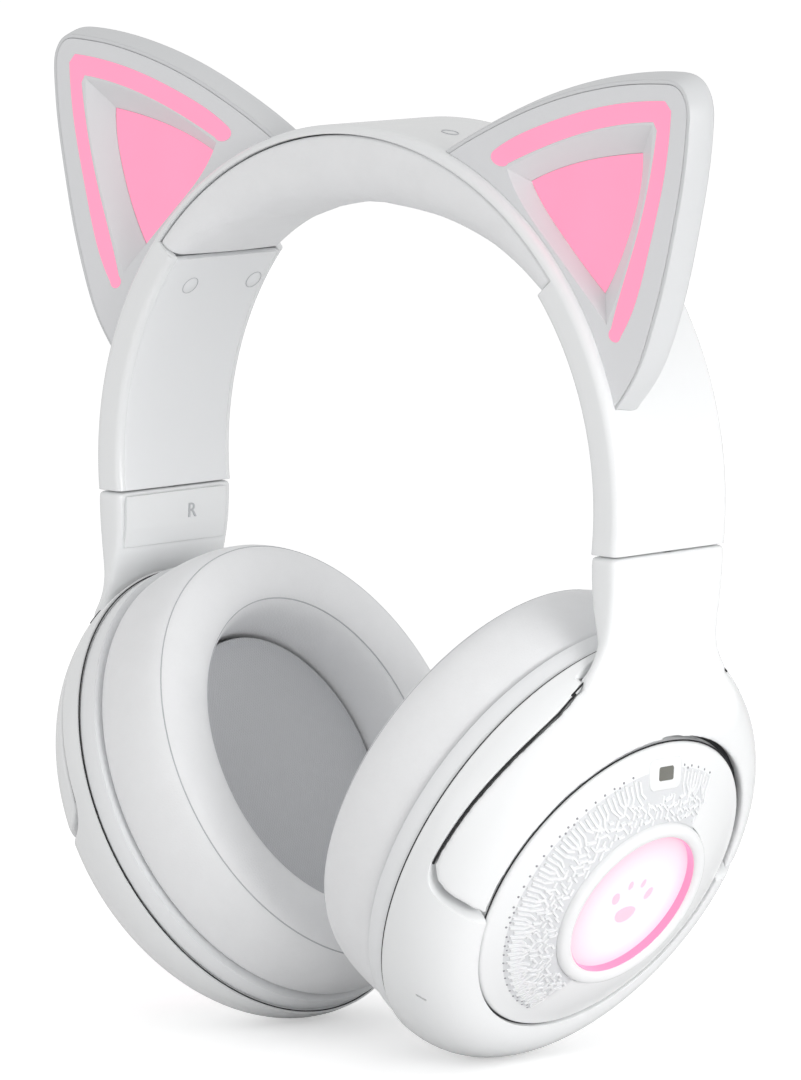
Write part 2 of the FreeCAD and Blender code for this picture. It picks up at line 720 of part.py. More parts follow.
def pivot_cylinder(side, radius, inner, outer):
    """Cylinder on the tilt axis; side -1 is the front one, 1 the rear one."""
    x_start, x_end = sorted((side * inner, side * outer))
    return cross_cylinder(*PIVOT, radius, x_start, x_end)


def cover_box(gap):
    """Zone on the inner side of the neck taken by the yoke cover."""
    return to_cup(Part.makeBox(8.25 + gap, 31.0 + 2 * gap, 11.4 + 2 * gap,
                               V(62.0, -15.5 - gap, LIFT - 7.5 - gap)))


def build_yoke():
    # 3 mm skin over the dome, open around the side disc
    fork = saddled(full_dome, 0).cut(saddled(inset_dome(FORK), FORK))
    fork = fork.cut(axial_cylinder(0, 0, size["fork_hole_r"], -30, 30))
    fork = fork.cut(fork_zone(FORK_EDGE, -13.3))
    neck_solid = neck(0)
    yoke_cover = neck_solid.common(cover_box(0))
    pin_r = size["swivel_pin_r"]
    pin_bore = to_cup(Part.makeCylinder(
        pin_r + size["run_gap"], 20, V(SWIVEL_X, 0, LIFT - 4.5), V(0, 0, 1)))
    # room for the pin head, open towards the inner side
    room_r = pin_r + 0.55
    room_high = 2.9
    room_z = LIFT - 5.9
    room_x = 68.0
    head_room = to_cup(
        Part.makeCylinder(room_r, room_high, V(SWIVEL_X, 0, room_z), V(0, 0, 1)).fuse(
            Part.makeBox(SWIVEL_X - room_x, 2 * room_r, room_high, V(room_x, -room_r, room_z))))
    yoke = neck_solid.fuse(fork).cut(cover_box(0.1)).cut(pin_bore).cut(head_room)
    for side in (-1, 1):
        yoke = yoke.cut(pivot_cylinder(side, TILT_PIN_R + 0.01, PIN_INNER, PIN_OUTER + 0.05))
    shape_node("yoke_frame_left", yoke, CUP)
    shape_node("yoke_cover_left", yoke_cover, CUP)


def build_tilt_pins():
    pins = [cylinder("tilt_pin_%d" % i, "tilt_pin_r", PIN_OUTER - PIN_INNER,
                     in_cup(x, *PIVOT, 90)) for i, x in enumerate((-PIN_OUTER, PIN_INNER))]
    node("tilt_pins_left", group("tilt_pins_left", pins))


full_dome = dome(CUP_A, CUP_B, DOME_TOP_R, -DEPTH, 0)
build_yoke()
build_tilt_pins()

# ------------------------------------------------------------ cup housings
CUP_SCREWS = [(-26, -30), (26, -30), (-26, 30), (26, 30)]  # x, y
# Rear edge buttons: name, y, x of the inner end
BUTTONS = [("power_button", -12.0, 33.2), ("mode_button", -24.0, 28.6)]
BUTTON_Z = -11.6
MIC_X, MIC_Y = -36.1, -27.3  # low on the front side


def make_housing():
    """Dome with the fork's recess, the disc seat, the hollow and the bosses."""
    seat_r = size["disc_r"] + 0.4
    pocket = full_dome.fuse(axial_cylinder(0, 0, 60, -DEPTH + 0.01, 3))
    pocket = pocket.cut(saddled(inset_dome(UNDER_FORK), UNDER_FORK))
    pocket = pocket.cut(axial_cylinder(0, 0, seat_r, -30, 10))
    pocket = pocket.cut(fork_zone(STEP_EDGE, -13.8))
    hollow = saddled(inset_dome(INNER_FACE), INNER_FACE).fuse(
        oval_block(CUP_A - INNER_FACE, CUP_B - INNER_FACE, -DEPTH - 1, -DEPTH + 0.02))
    housing = full_dome.cut(pocket).cut(axial_cylinder(0, 0, seat_r, -3.2, 10)).cut(hollow)
    boss_zone = inset_dome(UNDER_FORK + 0.5)
    for x, y in CUP_SCREWS:
        housing = housing.fuse(axial_cylinder(x, y, 3.0, -DEPTH, -4).common(boss_zone))
    for side in (-1, 1):
        housing = housing.fuse(pivot_cylinder(side, 4.0, 33.5, 40.0).common(boss_zone))
    for x, y in CUP_SCREWS:
        pilot_r = size["screw_r"] + 0.05
        housing = housing.cut(axial_cylinder(x, y, pilot_r, -DEPTH - 1, -9.4))
    for side in (-1, 1):
        pivot_r = TILT_PIN_R + size["run_gap"]
        housing = housing.cut(pivot_cylinder(side, pivot_r, 30.0, 45.0))
    return housing.cut(neck(1.4))


def microphone_slit():
    """Narrow slit through the wall beside the microphone pocket."""
    length, width, depth = 2.4, 0.5, 4.6
    outward = V(-0.749, -0.476, 0.461).normalize()
    across = outward.cross(V(0.584, -0.125, 0.802)).normalize()
    along = across.cross(outward).normalize()
    base = V(-37.5, -28.1, -7.0) - outward * 3.6
    slit = Part.makeBox(length, width, depth, V(-length / 2, -width / 2, 0))
    slit.Placement = FreeCAD.Placement(FreeCAD.Matrix(
        along.x, across.x, outward.x, base.x,
        along.y, across.y, outward.y, base.y,
        along.z, across.z, outward.z, base.z,
        0, 0, 0, 1))
    return slit


def build_left_housing(housing):
    """Housing with openings for the socket, buttons and microphone."""
    left = housing.copy().cut(Part.makeBox(9.2, 20, 3.4, V(-4.6, -60, -13.7)))
    for name, y, inner_x in BUTTONS:
        left = left.cut(cross_cylinder(y, BUTTON_Z, size["button_r"] + 0.06, 25, 60))
    left = left.cut(axial_cylinder(MIC_X, MIC_Y, 1.5, -DEPTH - 1, -8.9))
    shape_node("cup_housing_left", left.cut(microphone_slit()), CUP)


def build_buttons():
    """Buttons ending just proud of the dome, each with a flange inside the wall."""
    proud = 0.8
    skin = dome(CUP_A + proud, CUP_B + proud, DOME_TOP_R + proud, -DEPTH - proud, proud)
    for name, y, inner_x in BUTTONS:
        flange = cross_cylinder(y, BUTTON_Z, size["button_r"] + 0.7, inner_x, inner_x + 1.2)
        flange = flange.common(inset_dome(INNER_FACE + 0.12))
        stem = cross_cylinder(y, BUTTON_Z, size["button_r"], inner_x, 55).common(skin)
        shape_node(name, stem.fuse(flange), CUP)


def build_charging_socket():
    """Rectangular sleeve, open at the bottom of the cup, with a tongue."""
    socket = Part.makeBox(9.0, 7.2, 3.2, V(-4.5, -51.2, -13.6))
    socket = socket.cut(Part.makeBox(8.2, 6.0, 2.4, V(-4.1, -51.3, -13.2)))
    socket = socket.fuse(Part.makeBox(6.6, 5.2, 0.7, V(-3.3, -50.4, -12.35)))
    shape_node("charging_socket", socket, CUP)


plain_housing = make_housing()
mirrored("cup_housing_right", feature("cup_housing_right_src", plain_housing, CUP))
build_left_housing(plain_housing)
build_buttons()
node("microphone", cylinder("microphone", 1.42, 5.6, in_cup(MIC_X, MIC_Y, -16.2)))
build_charging_socket()


# ------------------------------------------------------------ cushion side of the cup
def build_cup_ring():
    """Ring that carries the driver and the cushion."""
    top, low = size["ring_top"], size["ring_low"]
    ring = oval_loft([(51.3, 47.1, top), (51.5, 47.3, top - 1.6),
                      (51.5, 47.3, low + 1.6), (51.3, 47.1, low)])
    ring = ring.cut(oval_block(46.5, 42.3, low - 1, low + 2.5))
    ring = ring.cut(axial_cylinder(0, 0, size["driver_r"] + 0.3, -30, 0))
    for x, y in CUP_SCREWS:
        ring = ring.cut(axial_cylinder(x, y, size["screw_head_r"] + 0.1, low - 1, -18.3))
        ring = ring.cut(axial_cylinder(x, y, size["screw_r"] + 0.1, -20, -15))
    shape_node("cup_ring_left", ring, CUP)


def build_cup_screws():
    screws = []
    for i, (x, y) in enumerate(CUP_SCREWS):
        head = cylinder("cuphead_%d" % i, "screw_head_r", 1.0, in_cup(x, y, -19.35))
        shank = cylinder("cupshank_%d" % i, "screw_r", 8.0, in_cup(x, y, -18.4))
        screws.append(fuse("cupscrew_%d" % i, [head, shank]))
    node("cup_screws_left", group("cup_screws_left", screws))


def build_ear_cushion():
    """Soft closed ring; its opening widens towards the head."""
    top, low = size["cushion_top"], size["cushion_low"]
    step_z = -27.4
    cushion = oval_loft([(50.6, 46.4, top), (51.2, 47.0, top - 3.5), (51.1, 46.9, top - 9),
                         (50.0, 45.8, top - 14.5), (47.6, 43.6, low + 1.6), (44.6, 40.6, low)])
    cushion = cushion.cut(oval_block(29.5, 25.5, top + 1, step_z))
    cushion = cushion.cut(oval_loft([(31.6, 27.6, step_z), (32.0, 28.0, -34.0),
                                     (34.6, 30.4, low - 0.5)]))
    shape_node("ear_cushion_left", cushion, CUP)


build_cup_ring()
build_cup_screws()
shape_node("cushion_clip_left", oval_block(46.3, 42.1, -21.8, -19.5).cut(
    oval_block(40.0, 36.0, -22, -19)), CUP)
DRIVER_RIM = ("driver_r", 1, 1.5)
node("driver_left", turned("driver_left", [
    (0.0, -20.2), (8.0, -20.6), (17.0, -21.2), (DRIVER_RIM, -21.2), (DRIVER_RIM, -19.5),
    ("driver_r", -19.5), ("driver_r", -16.0), (13.0, -13.2), (10.0, -12.8), (10.0, -9.6),
    (0.0, -9.6)]))
build_ear_cushion()
# cloth across the cushion's opening
shape_node("ear_scrim_left", oval_block(31.3, 27.3, -28.3, -27.5), CUP)

# ------------------------------------------------------------ outer side of the cup
# Profiles are (radius, z of the cup frame).
side_cap = turned("side_cap_turned", [
    ("disc_r", -3.1), ("disc_r", -0.7), (("disc_r", 1, -0.25), -0.15),
    (("disc_r", 1, -0.9), 0.25), (("disc_r", 1, -3.0), 1.25), (29.0, 3.15), (25.0, 4.8),
    (22.6, 5.6), (20.45, 6.2), (20.45, 4.6), (16.0, 4.6), (16.0, 3.0), (24.5, 3.0),
    (28.5, 1.35), (32.4, -0.5), (34.2, -1.5), (34.2, -3.1)])
mirrored("side_cap_right", side_cap)
indicator_hole = box("indicator_hole", 4.2, 3.6, 12.0, in_cup(-4.1, 29.9, -6.0))
node("side_cap_left", cut("side_cap_left", side_cap, indicator_hole))

indicator_ring = turned("indicator_turned", [
    (27.0, 3.83), (29.0, 3.0), (33.0, 1.1), (35.1, 0.1), (35.1, -1.7), (32.4, -0.6),
    (28.5, 1.25), (27.0, 1.9)])
indicator_zone = box("indicator_zone", 4.0, 3.4, 12.0, in_cup(-4.0, 30.0, -6.0))
node("indicator_window", common("indicator_window", indicator_ring, indicator_zone))

RIM_BORE = ("window_r", 1, 0.1)
node("window_rim_left", turned("window_rim_left", [
    (RIM_BORE, 4.7), ("rim_r", 4.7), ("rim_r", 7.0), (("rim_r", 1, -0.4), 7.7),
    (("rim_r", 1, -1.1), 8.0), (("window_r", 1, 1.3), 8.0), (("window_r", 1, 0.5), 7.7),
    (RIM_BORE, 7.0)]))
node("window_left", turned("window_left", [
    (0.0, 4.7), ("window_r", 4.7), ("window_r", 6.1), (("window_r", 1, -6), 6.55),
    (5.0, 6.75), (0.0, 6.8)]))
LIGHT_BOARD_R = ("rim_r", 1, -1.3)
node("window_light_board_left", turned("window_light_board_left", [
    (0.0, 1.6), (LIGHT_BOARD_R, 1.6), (LIGHT_BOARD_R, 2.9), (0.0, 2.9)]))


# ------------------------------------------------------------ electronics
def make_battery():
    """Battery cell in the left cup's frame, to be mirrored into the right cup."""
    body, sketch = polygon_body("battery_cell", "XY_Plane", [
        (-15.0, -35.0), (15.0, -35.0), (15.0, -24.4), (-15.0, -24.4)])
    pad = body.newObject("PartDesign::Pad", "battery_pad")
    pad.Profile = sketch
    pad.Length = 6.6
    body.Tip = pad
    body.Placement = in_cup(0, 0, -15.0)
    doc.recompute()
    return body


node("main_board", box("main_board", 44.0, 30.0, 1.4, in_cup(-22, -15, -8.3)))
mirrored("battery", make_battery())

# ------------------------------------------------------------ right side
for base_name in ("slider_rail", "swivel_pin", "slider_guide", "ear_shell", "ear_frame",
                  "ear_light_band", "ear_inner_panel", "ear_light_board", "yoke_frame",
                  "yoke_cover", "tilt_pins", "cup_ring", "cup_screws", "cushion_clip",
                  "driver", "ear_cushion", "ear_scrim", "window_rim", "window",
                  "window_light_board"):
    mirrored(base_name + "_right", NODES[base_name + "_left"])
doc.recompute()

# ------------------------------------------------------------ export
bad = []
for obj in doc.Objects:
    states = [str(state) for state in obj.State]
    if "Invalid" in states or "Error" in states:
        bad.append(obj.Name + " " + ",".join(states))
for name, obj in NODES.items():
    shape = obj.Shape
    if shape.isNull() or not shape.isValid() or shape.Volume <= 0:
        bad.append(name + " shape")
if bad:
    raise RuntimeError("bad objects: " + "; ".join(bad))

os.makedirs("parts", exist_ok=True)
for old in os.listdir("parts"):
    if old.endswith(".step"):
        os.remove(os.path.join("parts", old))
for name, obj in NODES.items():
    obj.Shape.exportStep("parts/%s.step" % name)
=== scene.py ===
"""Over-ear headphones: an arched headband, two yokes and two tilted oval cups with lit windows.

Metres, +Z up. The wearer faces -Y, so the left cup lies at +X and the rear at +Y.
The cups are drawn in a cup frame in millimetres, (w, v, n): w rearward, v up the cup, n outwards.
The headband is drawn in millimetres about its arch centre: radius r, y, and degrees from +X.
"""
import json
import math

import bmesh
import bpy
import numpy as np
from mathutils import Matrix, Vector


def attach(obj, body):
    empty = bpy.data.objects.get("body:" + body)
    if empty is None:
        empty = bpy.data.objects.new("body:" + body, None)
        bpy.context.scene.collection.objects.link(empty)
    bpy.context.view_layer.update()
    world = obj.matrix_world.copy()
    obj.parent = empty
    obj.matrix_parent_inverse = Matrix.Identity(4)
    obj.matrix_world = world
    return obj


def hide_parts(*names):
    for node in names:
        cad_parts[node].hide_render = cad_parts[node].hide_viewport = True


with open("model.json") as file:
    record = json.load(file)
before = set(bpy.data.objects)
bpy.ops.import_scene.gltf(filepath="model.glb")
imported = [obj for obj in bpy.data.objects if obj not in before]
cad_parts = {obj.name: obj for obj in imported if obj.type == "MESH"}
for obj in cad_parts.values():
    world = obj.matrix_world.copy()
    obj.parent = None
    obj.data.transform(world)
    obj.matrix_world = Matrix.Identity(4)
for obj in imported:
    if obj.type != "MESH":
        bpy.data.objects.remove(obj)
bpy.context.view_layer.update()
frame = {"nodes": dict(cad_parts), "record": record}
NODES = frame["nodes"]
SLOT = {part["node"]: part["material_slot"] for part in frame["record"]["subparts"]}
BODY = {node: body for body, nodes in frame["record"]["behaviour"]["bodies"].items()
        for node in nodes}
SIGN = {"left": 1.0, "right": -1.0}      # sign of x on each side

DATUM_Z = 0.10825                        # height the side letters and the camera are set from
CUP_X, CUP_Z = 0.0606, 0.04075           # origin of the left cup frame
CUP_TILT = math.radians(27.5)
TILT_SIN, TILT_COS = math.sin(CUP_TILT), math.cos(CUP_TILT)


# ------------------------------------------------------------------ frames
def cup_points(points, side):
    """Cup frame in millimetres to the scene in metres."""
    p = np.asarray(points, dtype=float)
    out = np.empty_like(p)
    out[:, 0] = SIGN[side] * (CUP_X + (p[:, 1] * TILT_SIN + p[:, 2] * TILT_COS) / 1000.0)
    out[:, 1] = p[:, 0] / 1000.0
    out[:, 2] = CUP_Z + (p[:, 1] * TILT_COS - p[:, 2] * TILT_SIN) / 1000.0
    return out


def to_cup(points, side):
    """Scene in metres to the cup frame in millimetres."""
    p = np.asarray(points, dtype=float)
    dx = (p[:, 0] * SIGN[side] - CUP_X) * 1000.0
    dz = (p[:, 2] - CUP_Z) * 1000.0
    return np.stack([p[:, 1] * 1000.0, dx * TILT_SIN + dz * TILT_COS,
                     dx * TILT_COS - dz * TILT_SIN], axis=1)


def polar(r, deg):
    """Point (w, v) on the cup; 90 degrees is up and 180 is forward."""
    angle = math.radians(deg)
    return (r * math.cos(angle), r * math.sin(angle))


# ------------------------------------------------------------------ mesh helpers
def link(obj):
    bpy.context.scene.collection.objects.link(obj)
    return obj


def mesh_object(name, verts, faces, material, smooth=True, sharp_deg=None):
    mesh = bpy.data.meshes.new(name)
    mesh.from_pydata([tuple(map(float, v)) for v in verts], [],
                     [tuple(map(int, f)) for f in faces])
    mesh.validate()
    bm = bmesh.new()
    bm.from_mesh(mesh)
    bmesh.ops.recalc_face_normals(bm, faces=bm.faces)
    bm.to_mesh(mesh)
    bm.free()
    if smooth:
        mesh.polygons.foreach_set("use_smooth", [True] * len(mesh.polygons))
    obj = link(bpy.data.objects.new(name, mesh))
    mesh.materials.append(material)
    if sharp_deg is not None:
        mesh.set_sharp_from_angle(angle=math.radians(sharp_deg))
    return obj


def register(obj, body, replaces=None):
    """Parents a piece to the empty of the body that carries it and hides the node it replaces."""
    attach(obj, body)
    if replaces:
        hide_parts(replaces)


def cup_piece(name, skin, side, material, replaces=None, smooth=True, sharp_deg=None):
    """A piece riding on a cup; skin is (vertices in the cup frame, faces)."""
    verts, faces = skin
    obj = mesh_object(name, cup_points(verts, side), faces, MATERIALS[material], smooth, sharp_deg)
    register(obj, "cup_" + side, replaces)


def verts_of(mesh):
    flat = np.empty(len(mesh.vertices) * 3)
    mesh.vertices.foreach_get("co", flat)
    return flat.reshape(-1, 3)


def set_verts(mesh, points):
    mesh.vertices.foreach_set("co", np.asarray(points, dtype=float).ravel())
    mesh.update()


def bake(obj):
    """Applies every modifier of obj into its mesh."""
    depsgraph = bpy.context.evaluated_depsgraph_get()
    mesh = bpy.data.meshes.new_from_object(obj.evaluated_get(depsgraph))
    materials = list(obj.data.materials)
    obj.modifiers.clear()
    obj.data = mesh
    mesh.materials.clear()
    for material in materials:
        mesh.materials.append(material)
    mesh.polygons.foreach_set("use_smooth", [True] * len(mesh.polygons))


def subdivide(obj):
    modifier = obj.modifiers.new("fine", "SUBSURF")
    modifier.levels = modifier.render_levels = 1
    bake(obj)


def relax(mesh, passes, factor=0.5):
    """Laplacian smoothing in place."""
    points = verts_of(mesh)
    count = len(points)
    edges = np.empty(len(mesh.edges) * 2, dtype=np.int64)
    mesh.edges.foreach_get("vertices", edges)
    a, b = edges.reshape(-1, 2).T
    degree = np.bincount(edges, minlength=count).astype(float)
    degree[degree == 0] = 1.0
    for _ in range(passes):
        total = np.zeros_like(points)
        for k in range(3):
            total[:, k] = (np.bincount(a, weights=points[b, k], minlength=count)
                           + np.bincount(b, weights=points[a, k], minlength=count))
        points = points + factor * (total / degree[:, None] - points)
    set_verts(mesh, points)


def puff(obj, max_move, is_held):
    """Swells a closed skin as padded fabric; is_held marks the points that stay."""
    last_frame = 20
    start = verts_of(obj.data).copy()
    group = obj.vertex_groups.new(name="hold")
    for i in np.nonzero(is_held(start))[0]:
        group.add([int(i)], 1.0, "REPLACE")
    cloth = obj.modifiers.new("padding", "CLOTH")
    settings = cloth.settings
    settings.use_pressure = True
    settings.uniform_pressure_force = 4.0
    settings.effector_weights.gravity = 0.0
    settings.tension_stiffness = 12.0
    settings.compression_stiffness = 12.0
    settings.bending_stiffness = 0.6
    settings.quality = 6
    settings.vertex_group_mass = "hold"
    cloth.collision_settings.use_collision = False
    cloth.point_cache.frame_start = 1
    cloth.point_cache.frame_end = last_frame
    scene = bpy.context.scene
    for number in range(1, last_frame + 1):
        scene.frame_set(number)
    bake(obj)
    scene.frame_set(1)
    move = verts_of(obj.data) - start
    length = np.linalg.norm(move, axis=1, keepdims=True)
    set_verts(obj.data, start + move * np.minimum(1.0, max_move / np.maximum(length, 1e-9)))


# ------------------------------------------------------------------ skins: (vertices, faces)
def grid_faces(rows, columns, wrap_rows=False, wrap_columns=True):
    """Quads over a grid of points stored row by row."""
    faces = []
    for i in range(rows if wrap_rows else rows - 1):
        here, there = i * columns, (i + 1) % rows * columns
        for k in range(columns if wrap_columns else columns - 1):
            l = (k + 1) % columns
            faces.append((here + k, here + l, there + l, there + k))
    return faces


def end_faces(rows, columns, flip_first=True):
    """The faces that close the first and the last row."""
    first = tuple(range(columns))
    last = tuple((rows - 1) * columns + k for k in range(columns))
    return [first[::-1] if flip_first else first, last]


def oval_skin(rows, segments, closed=True):
    """Oval rings (half height, half width, n); the ends join up, or are capped if not closed."""
    verts = []
    for half_v, half_w, n in rows:
        for k in range(segments):
            angle = 2 * math.pi * k / segments
            verts.append((half_w * math.sin(angle), half_v * math.cos(angle), n))
    faces = grid_faces(len(rows), segments, wrap_rows=closed)
    if not closed:
        faces += end_faces(len(rows), segments, flip_first=False)
    return verts, faces


def turned_skin(rows, closed=True):
    """Skin turned about the cup axis from (radius, n) rows."""
    return oval_skin([(r, r, n) for r, n in rows], 160, closed)


def joined(skins):
    """Several skins as one."""
    all_verts, all_faces = [], []
    for verts, faces in skins:
        start = len(all_verts)
        all_verts.extend(verts)
        all_faces.extend([tuple(i + start for i in f) for f in faces])
    return all_verts, all_faces


def dome_patch(center, half_w, half_v, height, base, turn=0.0, segments=20, rings=4):
    """Low raised oval on the cup; its outer edge is sunk below the base."""
    edge_sink = 0.15
    verts = []
    for i in range(rings + 1):
        scale = 1 - i / (rings + 0.6)
        n = base + height * (1 - scale ** 3) - (edge_sink if i == 0 else 0)
        for k in range(segments):
            angle = 2 * math.pi * k / segments
            x, y = half_w * scale * math.cos(angle), half_v * scale * math.sin(angle)
            verts.append((center[0] + x * math.cos(turn) - y * math.sin(turn),
                          center[1] + x * math.sin(turn) + y * math.cos(turn), n))
    return verts, grid_faces(rings + 1, segments) + end_faces(rings + 1, segments)[1:]


def rounded_plate(center, half_w, half_v, corner, bottom, top, ease, slope):
    """Rounded rectangular block on the cup with an eased top edge, sloping along v."""
    corner_steps = 6
    outline = []
    for side_w, side_v, first_deg in ((1, 1, 0), (-1, 1, 90), (-1, -1, 180), (1, -1, 270)):
        for k in range(corner_steps + 1):
            angle = math.radians(first_deg + 90.0 * k / corner_steps)
            outline.append((side_w * (half_w - corner) + corner * math.cos(angle),
                            side_v * (half_v - corner) + corner * math.sin(angle)))
    # (growth of the outline, n)
    levels = [(0.0, bottom), (0.0, top - ease), (-0.3 * ease, top - 0.3 * ease), (-ease, top)]
    verts = []
    for grow, n in levels:
        for x, y in outline:
            scale = 1 + grow / max(math.hypot(x, y), 1e-6)
            verts.append((center[0] + x * scale, center[1] + y * scale, n + slope * (y * scale)))
    return verts, grid_faces(len(levels), len(outline)) + end_faces(len(levels), len(outline))


def line_piece(name, path, radius, material, body, closed=True, segments=6):
    """Thin round line along points in metres."""
    points = [Vector(p) for p in path]
    count = len(points)
    verts = []
    across = None
    for i, point in enumerate(points):
        before = points[(i - 1) % count] if closed or i > 0 else point
        after = points[(i + 1) % count] if closed or i < count - 1 else point
        along = (after - before).normalized()
        if across is None:
            across = along.orthogonal().normalized()
        across = (across - along * across.dot(along)).normalized()
        other = along.cross(across)
        for k in range(segments):
            angle = 2 * math.pi * k / segments
            verts.append(point + across * (math.cos(angle) * radius)
                         + other * (math.sin(angle) * radius))
    faces = grid_faces(count, segments, wrap_rows=closed)
    if not closed:
        faces += end_faces(count, segments)
    obj = mesh_object(name, verts, faces, MATERIALS[material])
    register(obj, body)


# ------------------------------------------------------------------ shader helper
MATERIALS = {}


def rgba(color, scale=1.0):
    return (color[0] * scale, color[1] * scale, color[2] * scale, 1.0)


class Shader:
    """A Principled material in object coordinates, filed in MATERIALS under its name."""

    def __init__(self, name):
        material = bpy.data.materials.new(name)
        material.use_nodes = True
        self.tree = material.node_tree
        self.tree.nodes.clear()
        output = self.node("ShaderNodeOutputMaterial")
        self.bsdf = self.node("ShaderNodeBsdfPrincipled")
        self.tree.links.new(self.bsdf.outputs[0], output.inputs[0])
        self.coords = self.node("ShaderNodeTexCoord").outputs["Object"]
        MATERIALS[name] = material

    def put(self, node, socket, value):
        if isinstance(value, bpy.types.NodeSocket):
            self.tree.links.new(value, node.inputs[socket])
        else:
            node.inputs[socket].default_value = value

    def node(self, kind, inputs=None, **settings):
        node = self.tree.nodes.new(kind)
        for key, value in settings.items():
            setattr(node, key, value)
        for socket, value in (inputs or {}).items():
            self.put(node, socket, value)
        return node

    def noise(self, scale, detail=2.0, roughness=0.5, vector=None):
        return self.node("ShaderNodeTexNoise", {
            "Vector": vector or self.coords, "Scale": scale,
            "Detail": detail, "Roughness": roughness}).outputs["Fac"]

    def ramp(self, value, from_range=(0.0, 1.0), to_range=(0.0, 1.0)):
        return self.node("ShaderNodeMapRange", {
            "Value": value, "From Min": from_range[0], "From Max": from_range[1],
            "To Min": to_range[0], "To Max": to_range[1]}).outputs[0]

    def math(self, operation, a, b=0.0):
        return self.node("ShaderNodeMath", {0: a, 1: b}, operation=operation).outputs[0]

    def mix(self, factor, a, b):
        # sockets 6 and 7 and output 2 are the colour ones
        return self.node("ShaderNodeMix", {0: factor, 6: a, 7: b}, data_type="RGBA").outputs[2]

    def scaled(self, color, scale):
        return self.node("ShaderNodeVectorMath", {0: color, "Scale": scale},
                         operation="SCALE").outputs[0]

    def xyz(self):
        return self.node("ShaderNodeSeparateXYZ", {0: self.coords}).outputs

    def bump(self, height, distance, strength, normal=None):
        inputs = {"Height": height, "Distance": distance, "Strength": strength}
        if normal is not None:
            inputs["Normal"] = normal
        return self.node("ShaderNodeBump", inputs).outputs[0]

    def bevel(self, radius):
        return self.node("ShaderNodeBevel", {"Radius": radius}, samples=6).outputs[0]

    def set(self, socket, value):
        self.put(self.bsdf, socket, value)


# ------------------------------------------------------------------ materials
def plastic(name, color, roughness, coat=0.0, grain=0.00002, bevel=0.0):
    """Faintly grained plastic; bevel is the radius of shaded edge rounding."""
    s = Shader(name)
    tint = s.ramp(s.noise(scale=9.0, detail=0.0), to_range=(0.992, 1.0))
    s.set("Base Color", s.scaled(color, tint))
    s.set("Roughness", s.ramp(s.noise(scale=420.0, detail=1.0),
                              to_range=(roughness * 0.97, roughness * 1.03)))
    s.set("Coat Weight", coat)
    s.set("Coat Roughness", 0.12)
    edge = s.bevel(bevel) if bevel else None
    s.set("Normal", s.bump(s.noise(scale=2600.0), distance=grain, strength=0.5, normal=edge))


def metal(name, color, roughness):
    """Metal brushed across x."""
    s = Shader(name)
    s.set("Base Color", rgba(color))
    s.set("Metallic", 1.0)
    brushed = s.node("ShaderNodeMapping", {
        "Vector": s.coords, "Scale": (900.0, 40.0, 40.0)}).outputs[0]
    s.set("Roughness", s.ramp(s.noise(scale=1.0, detail=3.0, vector=brushed),
                              from_range=(0.3, 0.7),
                              to_range=(roughness * 0.7, roughness * 1.3)))
    s.set("Normal", s.bump(s.noise(scale=1.0, vector=brushed), distance=0.00002, strength=0.4))


def leatherette(name, color, roughness):
    """Fine pebbled grain over broader creasing, with painted shade darkening the dips of the
    creasing.
    """
    s = Shader(name)
    cells = s.node("ShaderNodeTexVoronoi", {"Vector": s.coords, "Scale": 1500.0},
                   feature="DISTANCE_TO_EDGE")
    grain = s.ramp(cells.outputs["Distance"], from_range=(0.0, 0.35))
    broad = s.noise(scale=120.0, detail=4.0, roughness=0.6)
    grain_share, broad_share = 0.6, 0.5
    height = s.math("ADD", s.math("MULTIPLY", grain, grain_share),
                    s.math("MULTIPLY", broad, broad_share))
    # painted shade: the base colour is darker where the broad creasing dips
    tint = s.ramp(broad, from_range=(0.25, 0.75), to_range=(0.965, 1.0))
    s.set("Base Color", s.scaled(color, tint))
    s.set("Roughness", s.ramp(grain, to_range=(roughness * 1.12, roughness * 0.94)))
    s.set("Sheen Weight", 0.08)
    s.set("Sheen Roughness", 0.4)
    s.set("Normal", s.bump(height, distance=0.00006, strength=0.55))


def woven(name, color, pitch):
    """Plain open weave; pitch is the length of one wave."""
    s = Shader(name)
    x, y, z = s.xyz()
    waves = 2 * math.pi / pitch
    warp = s.math("SINE", s.math("MULTIPLY", y, waves))
    slant = s.math("ADD", z, s.math("MULTIPLY", x, 0.5))
    weft = s.math("SINE", s.math("MULTIPLY", slant, waves))
    thread = s.ramp(s.math("MULTIPLY", warp, weft), from_range=(-1.0, 1.0))
    s.set("Base Color", s.mix(thread, rgba(color, 0.86), rgba(color)))
    s.set("Roughness", 0.9)
    s.set("Sheen Weight", 0.25)
    s.set("Normal", s.bump(thread, distance=0.00012, strength=0.5))


def glow(name, color, strength):
    """Lit plastic with slightly uneven brightness."""
    s = Shader(name)
    unevenness = s.ramp(s.noise(scale=60.0), from_range=(0.3, 0.7), to_range=(0.96, 1.0))
    s.set("Base Color", rgba(color, 0.3))
    s.set("Roughness", 0.35)
    s.set("Emission Color", rgba(color))
    s.set("Emission Strength", s.math("MULTIPLY", unevenness, strength))
    s.set("Normal", s.bump(s.noise(scale=2200.0), distance=0.00002, strength=0.4))


def circuit_board(name):
    """Green board with a grid of tan lines."""
    s = Shader(name)
    bricks = s.node("ShaderNodeTexBrick", {
        "Vector": s.coords, "Scale": 420.0, "Color1": rgba((0.03, 0.16, 0.08)),
        "Color2": rgba((0.04, 0.2, 0.1)), "Mortar": rgba((0.3, 0.24, 0.08)),
        "Mortar Size": 0.02})
    s.set("Base Color", bricks.outputs["Color"])
    s.set("Roughness", 0.45)
    s.set("Normal", s.bump(bricks.outputs["Fac"], distance=0.00005, strength=0.5))


